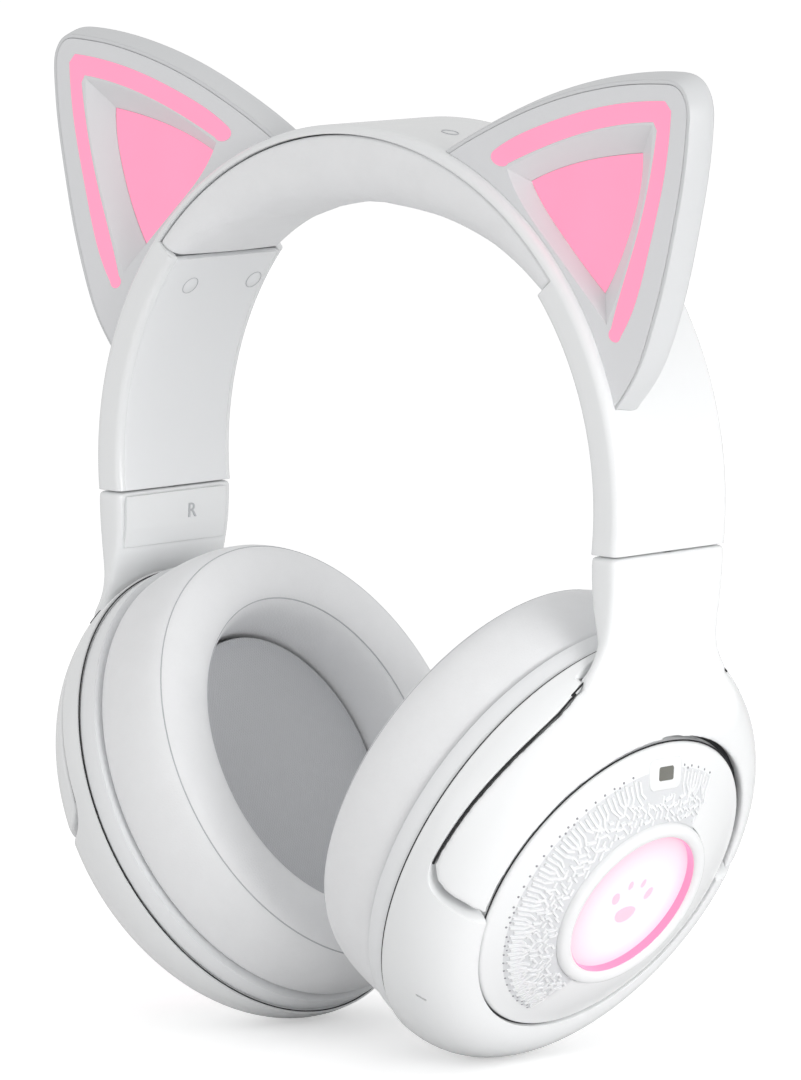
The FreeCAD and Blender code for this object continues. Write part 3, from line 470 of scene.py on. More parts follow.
def lit_window(name):
    """Lit diffuser: its own glow, near white in a pool and pink towards its edge; the pool is set
    low and to the rear as painted shade of the rim over the lens's upper front.
    """
    s = Shader(name)
    # shift of the white pool down and rearward: painted shade of the rim on the upper front of the
    # lens
    rim_shade_offset = 0.0018
    pool_radii = (0.0105, 0.0195)          # where the pink begins and where it is full
    pool_color, edge_color = (1.0, 0.86, 0.935), (0.88, 0.5, 0.64)
    x, y, z = s.xyz()
    # v in metres from scene coordinates, alike on both sides
    dx = s.math("SUBTRACT", s.math("ABSOLUTE", x), CUP_X)
    dz = s.math("SUBTRACT", z, CUP_Z)
    v = s.math("ADD", s.math("MULTIPLY", dx, TILT_SIN), s.math("MULTIPLY", dz, TILT_COS))
    pool_v = s.math("ADD", v, rim_shade_offset)
    pool_w = s.math("SUBTRACT", y, rim_shade_offset)
    distance = s.math("SQRT", s.math("ADD", s.math("MULTIPLY", pool_v, pool_v),
                                     s.math("MULTIPLY", pool_w, pool_w)))
    edge = s.ramp(distance, from_range=pool_radii)
    color = s.mix(s.math("POWER", edge, 1.5), rgba(pool_color), rgba(edge_color))
    s.set("Base Color", s.mix(0.75, color, rgba((0.0, 0.0, 0.0))))
    s.set("Emission Color", color)
    s.set("Emission Strength", s.ramp(edge, to_range=(0.87, 0.8)))
    s.set("Roughness", 0.3)
    s.set("Coat Weight", 0.5)
    s.set("Normal", s.bump(s.noise(scale=1500.0), distance=0.00002, strength=0.3))


def floor_white(name):
    """White floor that looks brighter to the camera than it lights the scene."""
    s = Shader(name)
    s.set("Base Color", rgba((0.86, 0.86, 0.86)))
    s.set("Roughness", s.ramp(s.noise(scale=3.0), from_range=(0.3, 0.7), to_range=(0.85, 0.95)))
    s.set("Emission Color", rgba((1.0, 1.0, 1.0)))
    light_path = s.node("ShaderNodeLightPath")
    s.set("Emission Strength", s.math("MULTIPLY", light_path.outputs["Is Camera Ray"], 0.42))


def make_materials():
    plastic("white_gloss", color=(0.875, 0.885, 0.89), roughness=0.26, coat=0.25, bevel=0.0004)
    plastic("white_satin", color=(0.86, 0.87, 0.88), roughness=0.42, grain=0.00003, bevel=0.0003)
    plastic("grey_ear", color=(0.78, 0.785, 0.8), roughness=0.42, grain=0.00003, bevel=0.0003)
    glow("pink_glow", color=(1.0, 0.305, 0.475), strength=0.92)
    glow("window_glow", color=(1.0, 0.72, 0.84), strength=0.9)
    leatherette("leatherette", color=(0.885, 0.89, 0.9), roughness=0.48)
    woven("scrim", color=(0.63, 0.64, 0.66), pitch=0.0007)
    metal("steel", color=(0.55, 0.56, 0.58), roughness=0.32)
    plastic("dark_plastic", color=(0.02, 0.02, 0.022), roughness=0.35, coat=0.2, bevel=0.0002)
    circuit_board("board")
    plastic("grey_inner", color=(0.4, 0.41, 0.43), roughness=0.55, grain=0.00005, bevel=0.0003)
    plastic("cell", color=(0.35, 0.4, 0.55), roughness=0.3, coat=0.3, bevel=0.0004)
    plastic("relief", color=(0.87, 0.875, 0.885), roughness=0.38, coat=0.1)
    # grey, darker than the cap's white: painted shade among the relief's ridges
    plastic("relief_floor_shade", color=(0.7, 0.71, 0.725), roughness=0.45)
    # the ear shells' white plastic made darker than the other white: painted shade on their side
    # walls
    plastic("ear_white_shaded", color=(0.71, 0.72, 0.73), roughness=0.36, coat=0.1, bevel=0.0004)
    # near black: painted shade for the lines and the floor set into the gaps
    plastic("gap", color=(0.012, 0.012, 0.014), roughness=0.7)
    plastic("mark_grey", color=(0.52, 0.53, 0.55), roughness=0.5)
    plastic("seam_grey", color=(0.5, 0.51, 0.53), roughness=0.6)
    plastic("dot_grey", color=(0.3, 0.3, 0.32), roughness=0.5)
    plastic("smoke", color=(0.16, 0.16, 0.14), roughness=0.15, coat=0.6)
    glow("mark_pink", color=(1.0, 0.66, 0.81), strength=0.72)
    # painted light: emission for the window's pink glow spilled onto the white inner wall of the
    # rim
    glow("wall_painted_glow", color=(1.0, 0.28, 0.5), strength=0.88)
    lit_window("window_lit")


def dress_nodes():
    for name, obj in NODES.items():
        obj.data.materials.clear()
        # ear shells take the darker copy of the white plastic, painted shade
        material = "ear_white_shaded" if name.startswith("ear_shell") else SLOT[name]
        obj.data.materials.append(MATERIALS[material])


# ------------------------------------------------------------------ yokes
def yoke(side):
    """The CAD yoke frame as one closed skin with eased edges."""
    voxel, passes = ((0.00042, 18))
    node = "yoke_frame_" + side
    name = "yoke_skin_" + side
    bm = bmesh.new()
    bm.from_mesh(NODES[node].data)
    mesh = bpy.data.meshes.new(name)
    bm.to_mesh(mesh)
    bm.free()
    obj = link(bpy.data.objects.new(name, mesh))
    mesh.materials.clear()
    remesh = obj.modifiers.new("skin", "REMESH")
    remesh.mode = "VOXEL"
    remesh.voxel_size = voxel
    remesh.adaptivity = 0.0
    bake(obj)
    relax(obj.data, passes)
    obj.data.materials.append(MATERIALS[SLOT[node]])
    register(obj, BODY[node], node)


# ------------------------------------------------------------------ ear cushions
# (half height, half width, n) round the section, from the outer wall over the face to the inside
CUSHION = [
    (50.3, 46.1, -22.2), (50.9, 46.7, -23.4), (51.2, 47.0, -26.0), (51.2, 47.0, -30.0),
    (50.8, 46.6, -34.5), (49.9, 45.7, -38.2), (48.4, 44.3, -40.8), (46.4, 42.4, -42.0),
    (43.4, 39.2, -42.7), (40.0, 35.8, -42.8), (37.0, 32.7, -42.3), (35.0, 30.6, -41.2),
    (33.7, 29.4, -39.2), (32.9, 28.6, -36.5), (32.4, 28.1, -33.0), (32.0, 27.8, -29.0),
    (31.6, 27.5, -26.5), (31.6, 27.5, -24.0), (32.4, 28.4, -22.3), (41.0, 37.0, -22.2)]
CUSHION_SEGMENTS = 112
CUSHION_MID = (41.5, 37.5)       # half height and half width of the oval amid the section
CUSHION_SEAM_ROWS = (6, 11)      # rows where the face meets the outer and the inner wall

# (half height, half width, n) from the inward face to the outward one
SCRIM = [
    (4, 3.4, -28.88), (12, 10.3, -28.8), (19, 16.4, -28.62), (25, 21.6, -28.42),
    (29, 25.1, -28.28), (30.8, 26.8, -28.18), (31.25, 27.25, -28.02), (31.3, 27.3, -27.8),
    (31.1, 27.1, -27.55), (24, 20.8, -27.5), (4, 3.4, -27.5)]


def cushion(side):
    verts, faces = oval_skin(CUSHION, CUSHION_SEGMENTS)
    obj = mesh_object("cushion_" + side, cup_points(verts, side), faces,
                      MATERIALS["leatherette"])
    # start with a slightly narrower section than the finished pad
    points = to_cup(verts_of(obj.data), side)
    reach = np.hypot(points[:, 1] / CUSHION_MID[0], points[:, 0] / CUSHION_MID[1])
    for k in (0, 1):
        points[:, k] = points[:, k] / reach * (1 + (reach - 1) * 0.94)
    set_verts(obj.data, cup_points(points, side))
    puff(obj, max_move=0.0016, is_held=lambda p: to_cup(p, side)[:, 2] > -24.5)
    rows = verts_of(obj.data).reshape(len(CUSHION), CUSHION_SEGMENTS, 3)
    subdivide(obj)
    register(obj, "cup_" + side, "ear_cushion_" + side)

    seams = []
    for row in CUSHION_SEAM_ROWS:
        path = []
        for point in rows[row]:
            _, hit, normal, _ = obj.closest_point_on_mesh(Vector(point))
            path.append(hit - normal * 0.00006)
        seams.append(path)
    for k, path in enumerate(seams):
        line_piece("cushion_seam_%s_%d" % (side, k), path, radius=0.00016, material="seam_grey",
                   body="cup_" + side, segments=8)


def scrim(side):
    """Cloth inside the cushion, drawn a little towards the head."""
    cup_piece("scrim_" + side, oval_skin(SCRIM, 96, closed=False), side,
              "scrim", "ear_scrim_" + side)


# ------------------------------------------------------------------ side caps
CAP_RADIUS = 36.0
# (radius, n): the rolled edge, then the dome rising to the window rim
CAP_EDGE = [(CAP_RADIUS, -3.0), (CAP_RADIUS, -1.0), (35.93, -0.62), (35.75, -0.3), (35.45, -0.06)]
CAP_DOME = [
    (35.0, 0.12), (34.2, 0.45), (33.0, 0.98), (31.0, 2.0), (29.0, 2.95),
    (27.0, 3.86), (25.0, 4.7), (23.0, 5.45), (21.5, 5.95), (20.5, 6.22)]
CAP_UNDERSIDE = [(20.4, 4.4), (34.0, -1.6), (34.0, -3.0)]
DOME_RADII, DOME_HEIGHTS = np.array(CAP_DOME[::-1]).T

# (radius, n) of the round ring standing over the cap
WINDOW_RIM = [
    (17.1, 4.8), (17.1, 6.9), (17.2, 7.35), (17.5, 7.7), (18.0, 7.92), (18.7, 8.0),
    (19.3, 7.88), (19.8, 7.6), (20.15, 7.15), (20.3, 6.6), (20.3, 4.8)]
# thin sheet just inside the rim's inner wall, carrying painted light spilled from the window
WINDOW_WALL = [(17.12, 4.6), (17.12, 7.1), (16.98, 7.1), (16.98, 4.6)]
WINDOW_LENS = [
    (17.0, 4.6), (17.0, 5.3), (16.2, 5.4), (13.0, 5.75), (9.0, 6.05), (5.0, 6.25),
    (2.0, 6.33), (0.02, 6.35)]
# (w, v), half width, half height, n of the base, turn: the pad and four toes
PAW = [
    ((0.0, -2.6), 3.9, 3.2, 6.2, 0.0), ((-4.9, 1.4), 1.5, 2.1, 6.15, 0.5),
    ((-1.8, 3.9), 1.5, 2.2, 6.12, 0.15), ((1.8, 3.9), 1.5, 2.2, 6.12, -0.15),
    ((4.9, 1.4), 1.5, 2.1, 6.15, -0.5)]
PAW_HEIGHT = 0.16

RELIEF_DEG = (62.0, 246.0)       # sector of the cap that carries the relief


def cap_height(r):
    """n of the dome at a radius."""
    return float(np.interp(r, DOME_RADII, DOME_HEIGHTS))


def bar(points, width, height):
    """Raised bar along points (w, v): a trapezoid section that follows the dome."""
    sink, top_share = -0.12, 0.32
    section = ((-0.5, sink), (-top_share, height), (top_share, height), (0.5, sink))
    count = len(points)
    verts = []
    for i, point in enumerate(points):
        before, after = points[max(i - 1, 0)], points[min(i + 1, count - 1)]
        along_w, along_v = after[0] - before[0], after[1] - before[1]
        length = math.hypot(along_w, along_v)
        for share, lift in section:
            w = point[0] - along_v / length * share * width
            v = point[1] + along_w / length * share * width
            verts.append((w, v, cap_height(math.hypot(w, v)) + lift))
    e = (count - 1) * 4
    return verts, grid_faces(count, 4) + [(0, 3, 2, 1), (e, e + 1, e + 2, e + 3)]


def relief_fan(rng):
    """Radial fingers of varying length near the cap's edge, many with a dot at the outer end."""
    pitch, bare_sector, dot_offset = 2.35, (82.0, 106.0), 0.45
    bars, dots = [], []
    deg = RELIEF_DEG[0]
    i = 0
    while deg < RELIEF_DEG[1]:
        if not bare_sector[0] < deg < bare_sector[1]:
            outer = 31.2 - 0.5 * (i % 2) - (0.0 if deg < 190 else 0.6)
            inner = 25.9 + 1.4 * ((i * 7) % 5) / 4.0
            middle = 0.5 * (inner + outer) - 0.6
            kink = 1.9 if (i // 3) % 2 else -1.9
            bars.append(bar([polar(outer, deg), polar(middle, deg), polar(inner, deg + kink)],
                            width=0.74, height=0.5))
            if i % 2 == 0 or rng.random() < 0.3:
                dots.append(polar(outer + dot_offset, deg))
        deg += pitch
        i += 1
    return bars, dots


def relief_maze(rng):
    """Short runs in three directions on a staggered grid near the window, some with an elbow."""
    pitch, row_ratio, jitter, reach = 1.62, 0.87, 0.25, 22
    elbow_chance, elbow_length = 0.35, 0.7
    bars = []
    for row in range(-reach, reach + 1):
        for column in range(-reach, reach + 1):
            w = pitch * (column + 0.5 * (row % 2)) + jitter * (rng.random() - 0.5)
            v = pitch * row_ratio * row + jitter * (rng.random() - 0.5)
            direction = int(rng.integers(0, 3))
            half = 0.55 + 0.45 * rng.random()
            bend = rng.random()
            r, deg = math.hypot(w, v), math.degrees(math.atan2(v, w)) % 360.0
            in_field = 21.2 < r < 26.6 and RELIEF_DEG[0] < deg < RELIEF_DEG[1]
            if not in_field or (80.0 < deg < 108.0 and r > 25.5):
                continue
            a = math.radians(60.0 * direction + 20.0)
            dw, dv = math.cos(a) * half, math.sin(a) * half
            points = [(w - dw, v - dv), (w, v), (w + dw, v + dv)]
            if bend < elbow_chance:
                b = a + math.radians(60.0)
                points.append((points[2][0] + math.cos(b) * elbow_length,
                               points[2][1] + math.sin(b) * elbow_length))
            if all(20.8 < math.hypot(*p) < 27.4 for p in points):
                bars.append(bar(points, width=0.68, height=0.45))
    return bars


def relief_field():
    """Floor under the relief: a sheet just over the dome that dips below it at three edges, greyed
    as painted shade among the relief's ridges.
    """
    inner, outer, sink, rise = 20.35, 31.9, 0.1, 0.14
    end_ease, rim_ease = 0.06, 0.5         # radians at the two ends, millimetres at the outside
    arc = np.radians(np.linspace(58.0, 250.0, 90))
    radii = np.linspace(inner, outer, 14)
    verts = []
    for r in radii:
        for a in arc:
            ease = min(1.0, (a - arc[0]) / end_ease, (arc[-1] - a) / end_ease,
                       (outer - r) / rim_ease)
            verts.append((r * math.cos(a), r * math.sin(a), cap_height(r) - sink + rise * ease))
    return verts, grid_faces(len(radii), len(arc), wrap_columns=False)


def side_cap(side):
    cup_piece("side_cap_skin_" + side, turned_skin(CAP_EDGE + CAP_DOME + CAP_UNDERSIDE), side,
              "white_gloss", "side_cap_" + side, sharp_deg=50)
    rng = np.random.default_rng(7)
    bars, dots = relief_fan(rng)
    bars += relief_maze(rng)
    cup_piece("side_relief_" + side, joined(bars), side, "relief", smooth=False)
    cup_piece("relief_field_" + side, relief_field(), side, "relief_floor_shade")
    patches = [dome_patch(dot, half_w=0.34, half_v=0.34, height=0.1,
                          base=cap_height(math.hypot(*dot)), segments=10, rings=2)
               for dot in dots]
    cup_piece("relief_dots_" + side, joined(patches), side, "dot_grey")


def window(side):
    """Rim, a glowing sheet on the rim's inner wall as painted light spilled from the window, and
    shallow lens, with a plain paw mark standing just proud of it.
    """
    cup_piece("window_rim_skin_" + side, turned_skin(WINDOW_RIM), side,
              "white_gloss", "window_rim_" + side, sharp_deg=60)
    cup_piece("window_wall_" + side, turned_skin(WINDOW_WALL), side,
              "wall_painted_glow", sharp_deg=40)
    cup_piece("window_lens_" + side, turned_skin(WINDOW_LENS, closed=False), side,
              "window_lit", "window_" + side, sharp_deg=40)
    mark = [dome_patch(center, half_w, half_v, PAW_HEIGHT, base, turn)
            for center, half_w, half_v, base, turn in PAW]
    cup_piece("window_mark_" + side, joined(mark), side, "mark_pink")


def indicator():
    """Small smoked pane on a raised seat, high on the left cap."""
    seat_v, glass_v, w, slope = 30.3, 30.5, -1.0, -0.46
    seat = rounded_plate((w, seat_v), half_w=5.0, half_v=3.1, corner=1.6, bottom=0.6,
                         top=cap_height(seat_v) + 0.16, ease=0.35, slope=slope)
    cup_piece("indicator_seat", seat, "left", "white_gloss", sharp_deg=50)
    glass = rounded_plate((w, glass_v), half_w=2.25, half_v=1.35, corner=0.45, bottom=0.8,
                          top=cap_height(glass_v) + 0.32, ease=0.15, slope=slope)
    cup_piece("indicator_glass", glass, "left", "smoke", "indicator_window",
              sharp_deg=50)


# ------------------------------------------------------------------ headband
ARCH_Z = 121.25                  # height of the arch centre
ARM_END = -7.75                  # height of the arm ends from the arch centre
BAND_OUTER, BAND_UNDER = 77.0, 75.4      # radii of the shell's top and underside
BAND_HALF_WIDTH = 17.6
CROWN_DEG = 39.9                 # where the arms meet the crown
# (r, y) round the section of the cover inside an arm
ARM_COVER = [(69.38, y) for y in (-15.0, -10.0, -5.0, 0.0, 5.0, 10.0, 15.0)] + [
    (69.46, 15.5), (69.7, 15.9), (70.2, 16.1), (70.6, 15.0),
    (70.6, -15.0), (70.2, -16.1), (69.7, -15.9), (69.46, -15.5)]
PLUG_PLACES = [(deg, y) for deg in (33.0, 147.0) for y in (-7.0, 12.7)]
PLUG_ROWS = [(1.95, 69.6), (1.95, 69.36), (1.85, 69.3), (0.02, 69.27)]   # (plug radius, r)
# (degrees inside the arm joint, inset of the section) easing each end of the pad
PAD_ENDS = [(0.22, 1.0), (0.26, 0.5), (0.45, 0.16), (0.9, 0.0)]


def arch_point(r, y, deg):
    angle = math.radians(deg)
    return (r * math.cos(angle) / 1000.0, y / 1000.0, (ARCH_Z + r * math.sin(angle)) / 1000.0)


def band_circle(deg, y, r, radius, segments):
    """Circle lying on the band, in metres."""
    angle = math.radians(deg)
    cos, sin = math.cos(angle), math.sin(angle)
    points = []
    for k in range(segments):
        a = 2 * math.pi * k / segments
        dy, along = radius * math.cos(a), radius * math.sin(a)
        points.append(((r * cos - along * sin) / 1000, (y + dy) / 1000,
                       (ARCH_Z + r * sin + along * cos) / 1000))
    return points


def end_deg(r):
    """Angle at which radius r reaches the height of the arm end."""
    return math.degrees(math.asin(ARM_END / r))


ARM_END_DEG = end_deg(BAND_OUTER)


def level(r, deg):
    """Shears the last stretch of each arm so that its end is level."""
    stretch = 25.0
    d = deg if deg <= 90 else 180 - deg
    d += (end_deg(r) - ARM_END_DEG) * max(0.0, 1.0 - (d - ARM_END_DEG) / stretch)
    return d if deg <= 90 else 180 - d


def mirrored(half, r):
    """Closes a half section (y >= 0) across the middle, through (r, 0)."""
    return half + [(r, 0.0)] + [(hr, -y) for hr, y in half[1:]][::-1]


def shell_section(is_arm):
    """(r, y) round the shell; its edges reach down to the cover on the arms only."""
    edge, lip = 1.9, 1.5                   # rounding radii of the outer edge and the lower lip
    lip_r, lip_y = 70.95, BAND_HALF_WIDTH - lip
    half = [(BAND_OUTER, y) for y in (0.0, 5.0, 10.0, 14.0)]
    for k in range(7):
        a = math.radians(15.0 * k)
        half.append((BAND_OUTER - edge + edge * math.cos(a),
                     BAND_HALF_WIDTH - edge + edge * math.sin(a)))
    low = [(r, BAND_HALF_WIDTH) for r in (73.6, 72.1, lip_r)]
    for k in range(1, 6):
        a = math.radians(18.0 * k)
        low.append((lip_r - lip * math.sin(a), lip_y + lip * math.cos(a)))
    low += [(69.45, 15.8), (69.75, 15.55), (72.5, 15.55), (74.9, 15.55)]
    if not is_arm:
        # fold the edge up so that both sections have the same points
        low = [(75.0 + 0.01 * (r - 69.45), y) for r, y in low]
    return mirrored(half + low + [(BAND_UNDER, 15.2), (BAND_UNDER, 8.0)], BAND_UNDER)


def sweep(name, rows, material, sharp_deg):
    """Solid skin through rows of points, each row one closed section."""
    size = (len(rows), len(rows[0]))
    return mesh_object(name, [p for row in rows for p in row],
                       grid_faces(*size) + end_faces(*size), MATERIALS[material],
                       sharp_deg=sharp_deg)


def headband_shell():
    step = 0.03                            # the section changes across this much either way
    arm, crown = shell_section(True), shell_section(False)
    degs = [*np.linspace(ARM_END_DEG, CROWN_DEG - step, 40),
            *np.linspace(CROWN_DEG + step, 180 - CROWN_DEG - step, 81),
            *np.linspace(180 - CROWN_DEG + step, 180 - ARM_END_DEG, 40)]
    rows = [[arch_point(r, y, level(r, d))
             for r, y in (arm if min(d, 180 - d) < CROWN_DEG else crown)] for d in degs]
    obj = sweep("headband_skin", rows, "white_gloss", sharp_deg=38)
    register(obj, "headband", "headband_shell")


def arm_cover(side):
    node = "arm_cover_" + side
    degs = np.linspace(ARM_END_DEG, CROWN_DEG - 0.32, 40)
    if side == "right":
        degs = 180 - degs
    rows = [[arch_point(r, y, level(r, d)) for r, y in ARM_COVER] for d in degs]
    obj = sweep("arm_cover_skin_" + side, rows, SLOT[node], sharp_deg=50)
    register(obj, "headband", node)


def arm_plugs():
    """Two round plugs in each arm cover, with a thin line round each."""
    segments = 40
    faces = (grid_faces(len(PLUG_ROWS), segments)
             + end_faces(len(PLUG_ROWS), segments, flip_first=False))
    plugs = [([p for radius, r in PLUG_ROWS for p in band_circle(deg, y, r, radius, segments)],
              faces) for deg, y in PLUG_PLACES]
    slot = SLOT["arm_screw_plugs"]
    obj = mesh_object("arm_plug_caps", *joined(plugs), MATERIALS[slot], sharp_deg=50)
    register(obj, "headband", "arm_screw_plugs")
    for k, (deg, y) in enumerate(PLUG_PLACES):
        line_piece("arm_plug_gap_%d" % k, band_circle(deg, y, r=69.35, radius=2.06, segments=48),
                   radius=0.00009, material="mark_grey", body="headband")


def pad_under(deg):
    """Radius of the pad's underside: a flatter arc about a centre below the arch's."""
    drop, arc_radius = 39.5, 99.8
    angle = math.radians(deg)
    return (-drop * math.sin(angle)
            + math.sqrt(arc_radius ** 2 - (drop * math.cos(angle)) ** 2))


def pad_section(deg, inset):
    """(r, y) round the pad, with generously rounded lower edges."""
    under = pad_under(deg) + inset
    half_width = 17.35 - 0.35 * inset
    top, top_edge, sag = 74.85, 0.9, 0.25
    edge = min(8.0, 0.86 * (top - top_edge - under))
    half = []
    for f in (0.0, 0.25, 0.5, 0.75):
        half.append((under + sag * f * f, (half_width - edge) * f))
    for k in range(9):
        a = math.radians(90.0 * k / 8)
        half.append((under + sag + (edge - sag) * (1 - math.cos(a)),
                     half_width - edge + edge * math.sin(a)))
    half += [(0.5 * (under + edge + top - top_edge), half_width), (top - top_edge, half_width),
             (top - 0.25, half_width - 0.25), (top, half_width - top_edge),
             (top, 0.66 * half_width), (top, 0.33 * half_width)]
    return mirrored(half, top)


def pad_held(points):
    """The top of the pad and its two ends stay put."""
    x, z = points[:, 0] * 1000, points[:, 2] * 1000 - ARCH_Z
    deg = np.degrees(np.arctan2(z, x))
    return (np.hypot(x, z) > 72.5) | (np.abs(deg - 90) > 90 - CROWN_DEG - 3.0)


def crown_pad():
    stations = [(CROWN_DEG + offset, inset) for offset, inset in PAD_ENDS]
    stations += [(d, 0.0) for d in np.linspace(CROWN_DEG + 2.5, 180 - CROWN_DEG - 2.5, 45)]
    stations += [(180 - CROWN_DEG - offset, inset) for offset, inset in reversed(PAD_ENDS)]
    rows = [[arch_point(r, y, d) for r, y in pad_section(d, inset)] for d, inset in stations]
    obj = sweep("crown_pad", rows, "leatherette", sharp_deg=180)
    puff(obj, max_move=0.0007, is_held=pad_held)
    subdivide(obj)
    register(obj, "headband", "headband_pad")


def band_cap_line():
    """Thin circle on top of the band, a little left of the middle."""
    path = band_circle(deg=79.0, y=-2.5, r=BAND_OUTER + 0.03, radius=1.8, segments=40)
    line_piece("band_cap_gap", path, radius=0.00011, material="mark_grey",
               body="headband")


def side_letter(side, letter):
    """Letter on the inner face of a yoke."""
    face_x, center_y, center_z = 0.06893, 0.0047, DATUM_Z - 0.0008
    curve = bpy.data.curves.new("letter", "FONT")
    curve.body = letter
    curve.size = 0.0046
    curve.extrude = 0.00012
    curve.align_x = "CENTER"
    curve.align_y = "CENTER"
    text = link(bpy.data.objects.new("letter", curve))
    bpy.context.view_layer.update()
    depsgraph = bpy.context.evaluated_depsgraph_get()
    flat = bpy.data.meshes.new_from_object(text.evaluated_get(depsgraph))
    bpy.data.objects.remove(text)
    x, y, z = verts_of(flat).T
    sign = SIGN[side]
    verts = np.stack([sign * (face_x - z), center_y - sign * x, center_z + y], axis=1)
    faces = [tuple(polygon.vertices) for polygon in flat.polygons]
    obj = mesh_object("side_letter_" + side, verts, faces, MATERIALS["mark_grey"], smooth=False)
    bpy.data.meshes.remove(flat)
    register(obj, "yoke_" + side)


# ------------------------------------------------------------------ dark gaps: painted shade
# (v, n) of the fork's edge on the cup
FORK_EDGE = [
    (5.4, -10.95), (8.3, -10.95), (12.3, -10.77), (19.3, -10.42), (27.7, -9.85),
    (34.75, -9.55), (40.5, -9.8), (44.5, -11.0)]
# (distance from the middle, v, n) where the fork's edge turns up into the neck
FORK_END = [
    (24.4, 43.98, -11.1), (23.3, 44.78, -11.33), (22.18, 45.55, -11.62),
    (21.02, 46.31, -11.95), (20.11, 46.88, -12.24)]
RING_GAP_RADIUS = {"left": 0.0003, "right": 0.00014}     # metres


def dome_half_width(v, n):
    """Half width of the ear shell's dome at (v, n), a little under its surface."""
    inset, depth = 0.45, 16.8
    sine = min(1.0, max(0.0, (n + depth) / (depth - inset)))
    spread = math.sqrt(1 - sine * sine)
    top = 36.9 - 0.9 * inset
    half_v = top + (52.4 - inset - top) * spread
    half_w = top + (47.6 - inset - top) * spread
    return half_w * math.sqrt(max(0.0, 1 - (v / half_v) ** 2))


def shade_line(name, path, radius, side, body="cup_", closed=True):
    """Dark line of painted shade along points in the cup frame."""
    line_piece(name + "_" + side, cup_points(path, side), radius, "gap", body + side,
               closed)


def shade_oval(name, half_w, half_v, n, count, radius, side):
    # an oval line of painted shade
    angles = [2 * math.pi * k / count for k in range(count)]
    path = [(half_w * math.sin(a), half_v * math.cos(a), n) for a in angles]
    shade_line(name, path, radius, side)


def fork_gaps(side):
    """Dark lines of painted shade along the fork's edge, on the front and the rear of the cup."""
    for place, toward in (("front", -1.0), ("rear", 1.0)):
        path = []
        for v in np.linspace(4.6, 44.2, 66):
            n = float(np.interp(v, *zip(*FORK_EDGE))) - 0.24
            path.append((toward * dome_half_width(v, n), v, n))
        shade_line("fork_gap_" + place, path, 0.00026, side, closed=False)
        path = [(toward * w, v, n - 0.02) for w, v, n in FORK_END]
        shade_line("fork_gap_end_" + place, path, 0.0002, side, body="yoke_", closed=False)


def opening_gap_shade(side):
    """Dark floor of painted shade in the gap between the cap and the fork's opening, over the
    upper half.
    """
    arc = np.radians(np.linspace(2.0, 178.0, 90))
    section = ((36.45, -2.4), (37.9, -2.4), (37.9, -2.9), (36.45, -2.9))     # (radius, n)
    verts = [(r * math.cos(a), r * math.sin(a), n) for r, n in section for a in arc]
    m = len(arc)
    faces = grid_faces(len(section), m, wrap_rows=True, wrap_columns=False)
    faces += [(0, m, 2 * m, 3 * m), (m - 1, 4 * m - 1, 3 * m - 1, 2 * m - 1)]
    cup_piece("opening_gap_shade_" + side, (verts, faces), side, "gap", smooth=False)


def painted_gap_shade(side):
    # painted shade in the gaps round the ring, along the fork, round the cap and under the opening
    shade_oval("ring_gap", half_w=47.3, half_v=51.85, n=-16.98, count=220,
             radius=RING_GAP_RADIUS[side], side=side)
    fork_gaps(side)
    cap_gap = CAP_RADIUS + 0.2
    shade_oval("cap_gap", half_w=cap_gap, half_v=cap_gap, n=-0.95, count=200,
             radius=0.00017, side=side)
    opening_gap_shade(side)


# ------------------------------------------------------------------ stage, light, camera
def stage():
    half, z = 6, -0.0006
    floor_white("floor_white")
    corners = [(-half, -half, z), (half, -half, z), (half, half, z), (-half, half, z)]
    mesh_object("floor", corners, [(0, 1, 2, 3)], MATERIALS["floor_white"],
                         smooth=False)
    world = bpy.data.worlds.new("studio")
    bpy.context.scene.world = world
    world.use_nodes = True
    background = world.node_tree.nodes["Background"]
    background.inputs["Color"].default_value = (1.0, 1.0, 1.0, 1.0)
    background.inputs["Strength"].default_value = 0.73


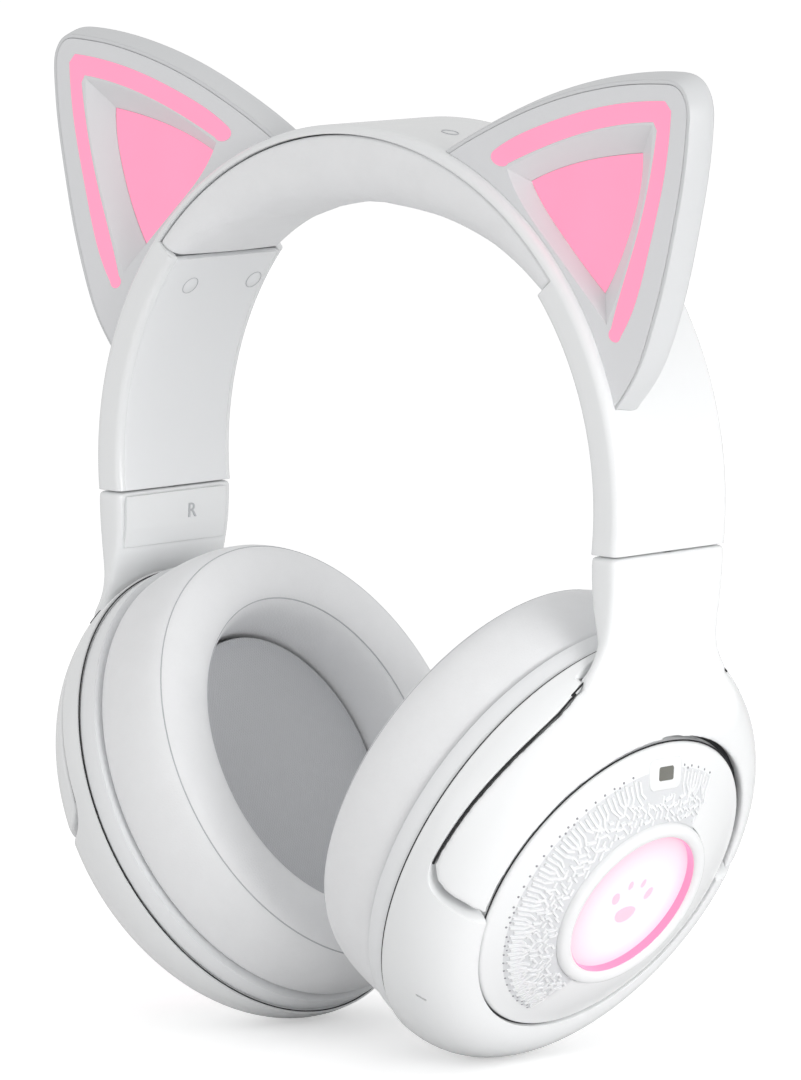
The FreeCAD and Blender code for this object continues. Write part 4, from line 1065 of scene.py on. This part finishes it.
def area_light(name, location, target, size, power, spread_deg=180.0):
    light = bpy.data.lights.new(name, "AREA")
    light.shape = "RECTANGLE"
    light.size, light.size_y = size
    light.energy = power
    light.spread = math.radians(spread_deg)
    obj = link(bpy.data.objects.new(name, light))
    obj.location = location
    aim = Vector(target) - Vector(location)
    obj.rotation_euler = aim.to_track_quat("-Z", "Y").to_euler()


def lights():
    area_light("key", location=(0.70, -0.08, 0.13), target=(0.07, 0.0, 0.055),
               size=(0.45, 0.3), power=0.32, spread_deg=55.0)
    area_light("front", location=(-1.25, -0.8, 0.15), target=(0, 0, 0.09),
               size=(1.0, 0.8), power=0.6)
    area_light("fill", location=(0.15, -1.4, 0.2), target=(0, 0, 0.09),
               size=(1.0, 0.8), power=1.5)


def camera():
    """Long lens from the front left, a little above; angles in radians."""
    azimuth, elevation, roll = 0.7564, 0.1339, 0.009
    target = Vector((0.000287, -0.001379, DATUM_Z))
    distance = 1.679
    sin_a, cos_a = math.sin(azimuth), math.cos(azimuth)
    sin_e, cos_e = math.sin(elevation), math.cos(elevation)
    level_right = Vector((cos_a, sin_a, 0))
    level_up = Vector((-sin_a * sin_e, cos_a * sin_e, cos_e))
    back = Vector((sin_a * cos_e, -cos_a * cos_e, sin_e))
    right = level_right * math.cos(roll) + level_up * math.sin(roll)
    up = -level_right * math.sin(roll) + level_up * math.cos(roll)
    data = bpy.data.cameras.new("camera")
    data.sensor_width = 36.0
    data.lens = 260.9
    data.clip_start = 0.05
    obj = link(bpy.data.objects.new("camera", data))
    columns = (right, up, back, target + back * distance)
    obj.matrix_world = Matrix([[c[i] for c in columns] for i in range(3)] + [[0, 0, 0, 1]])
    scene = bpy.context.scene
    scene.camera = obj
    scene.view_settings.view_transform = "Standard"
    scene.view_settings.look = "None"


# ------------------------------------------------------------------ build
make_materials()
dress_nodes()
for side in SIGN:
    yoke(side)
for side in SIGN:
    cushion(side)
    scrim(side)
for side in SIGN:
    side_cap(side)
    window(side)
indicator()
headband_shell()
for side in SIGN:
    arm_cover(side)
arm_plugs()
crown_pad()
band_cap_line()
side_letter("left", "L")
side_letter("right", "R")
for side in SIGN:
    painted_gap_shade(side)
stage()
lights()
camera()
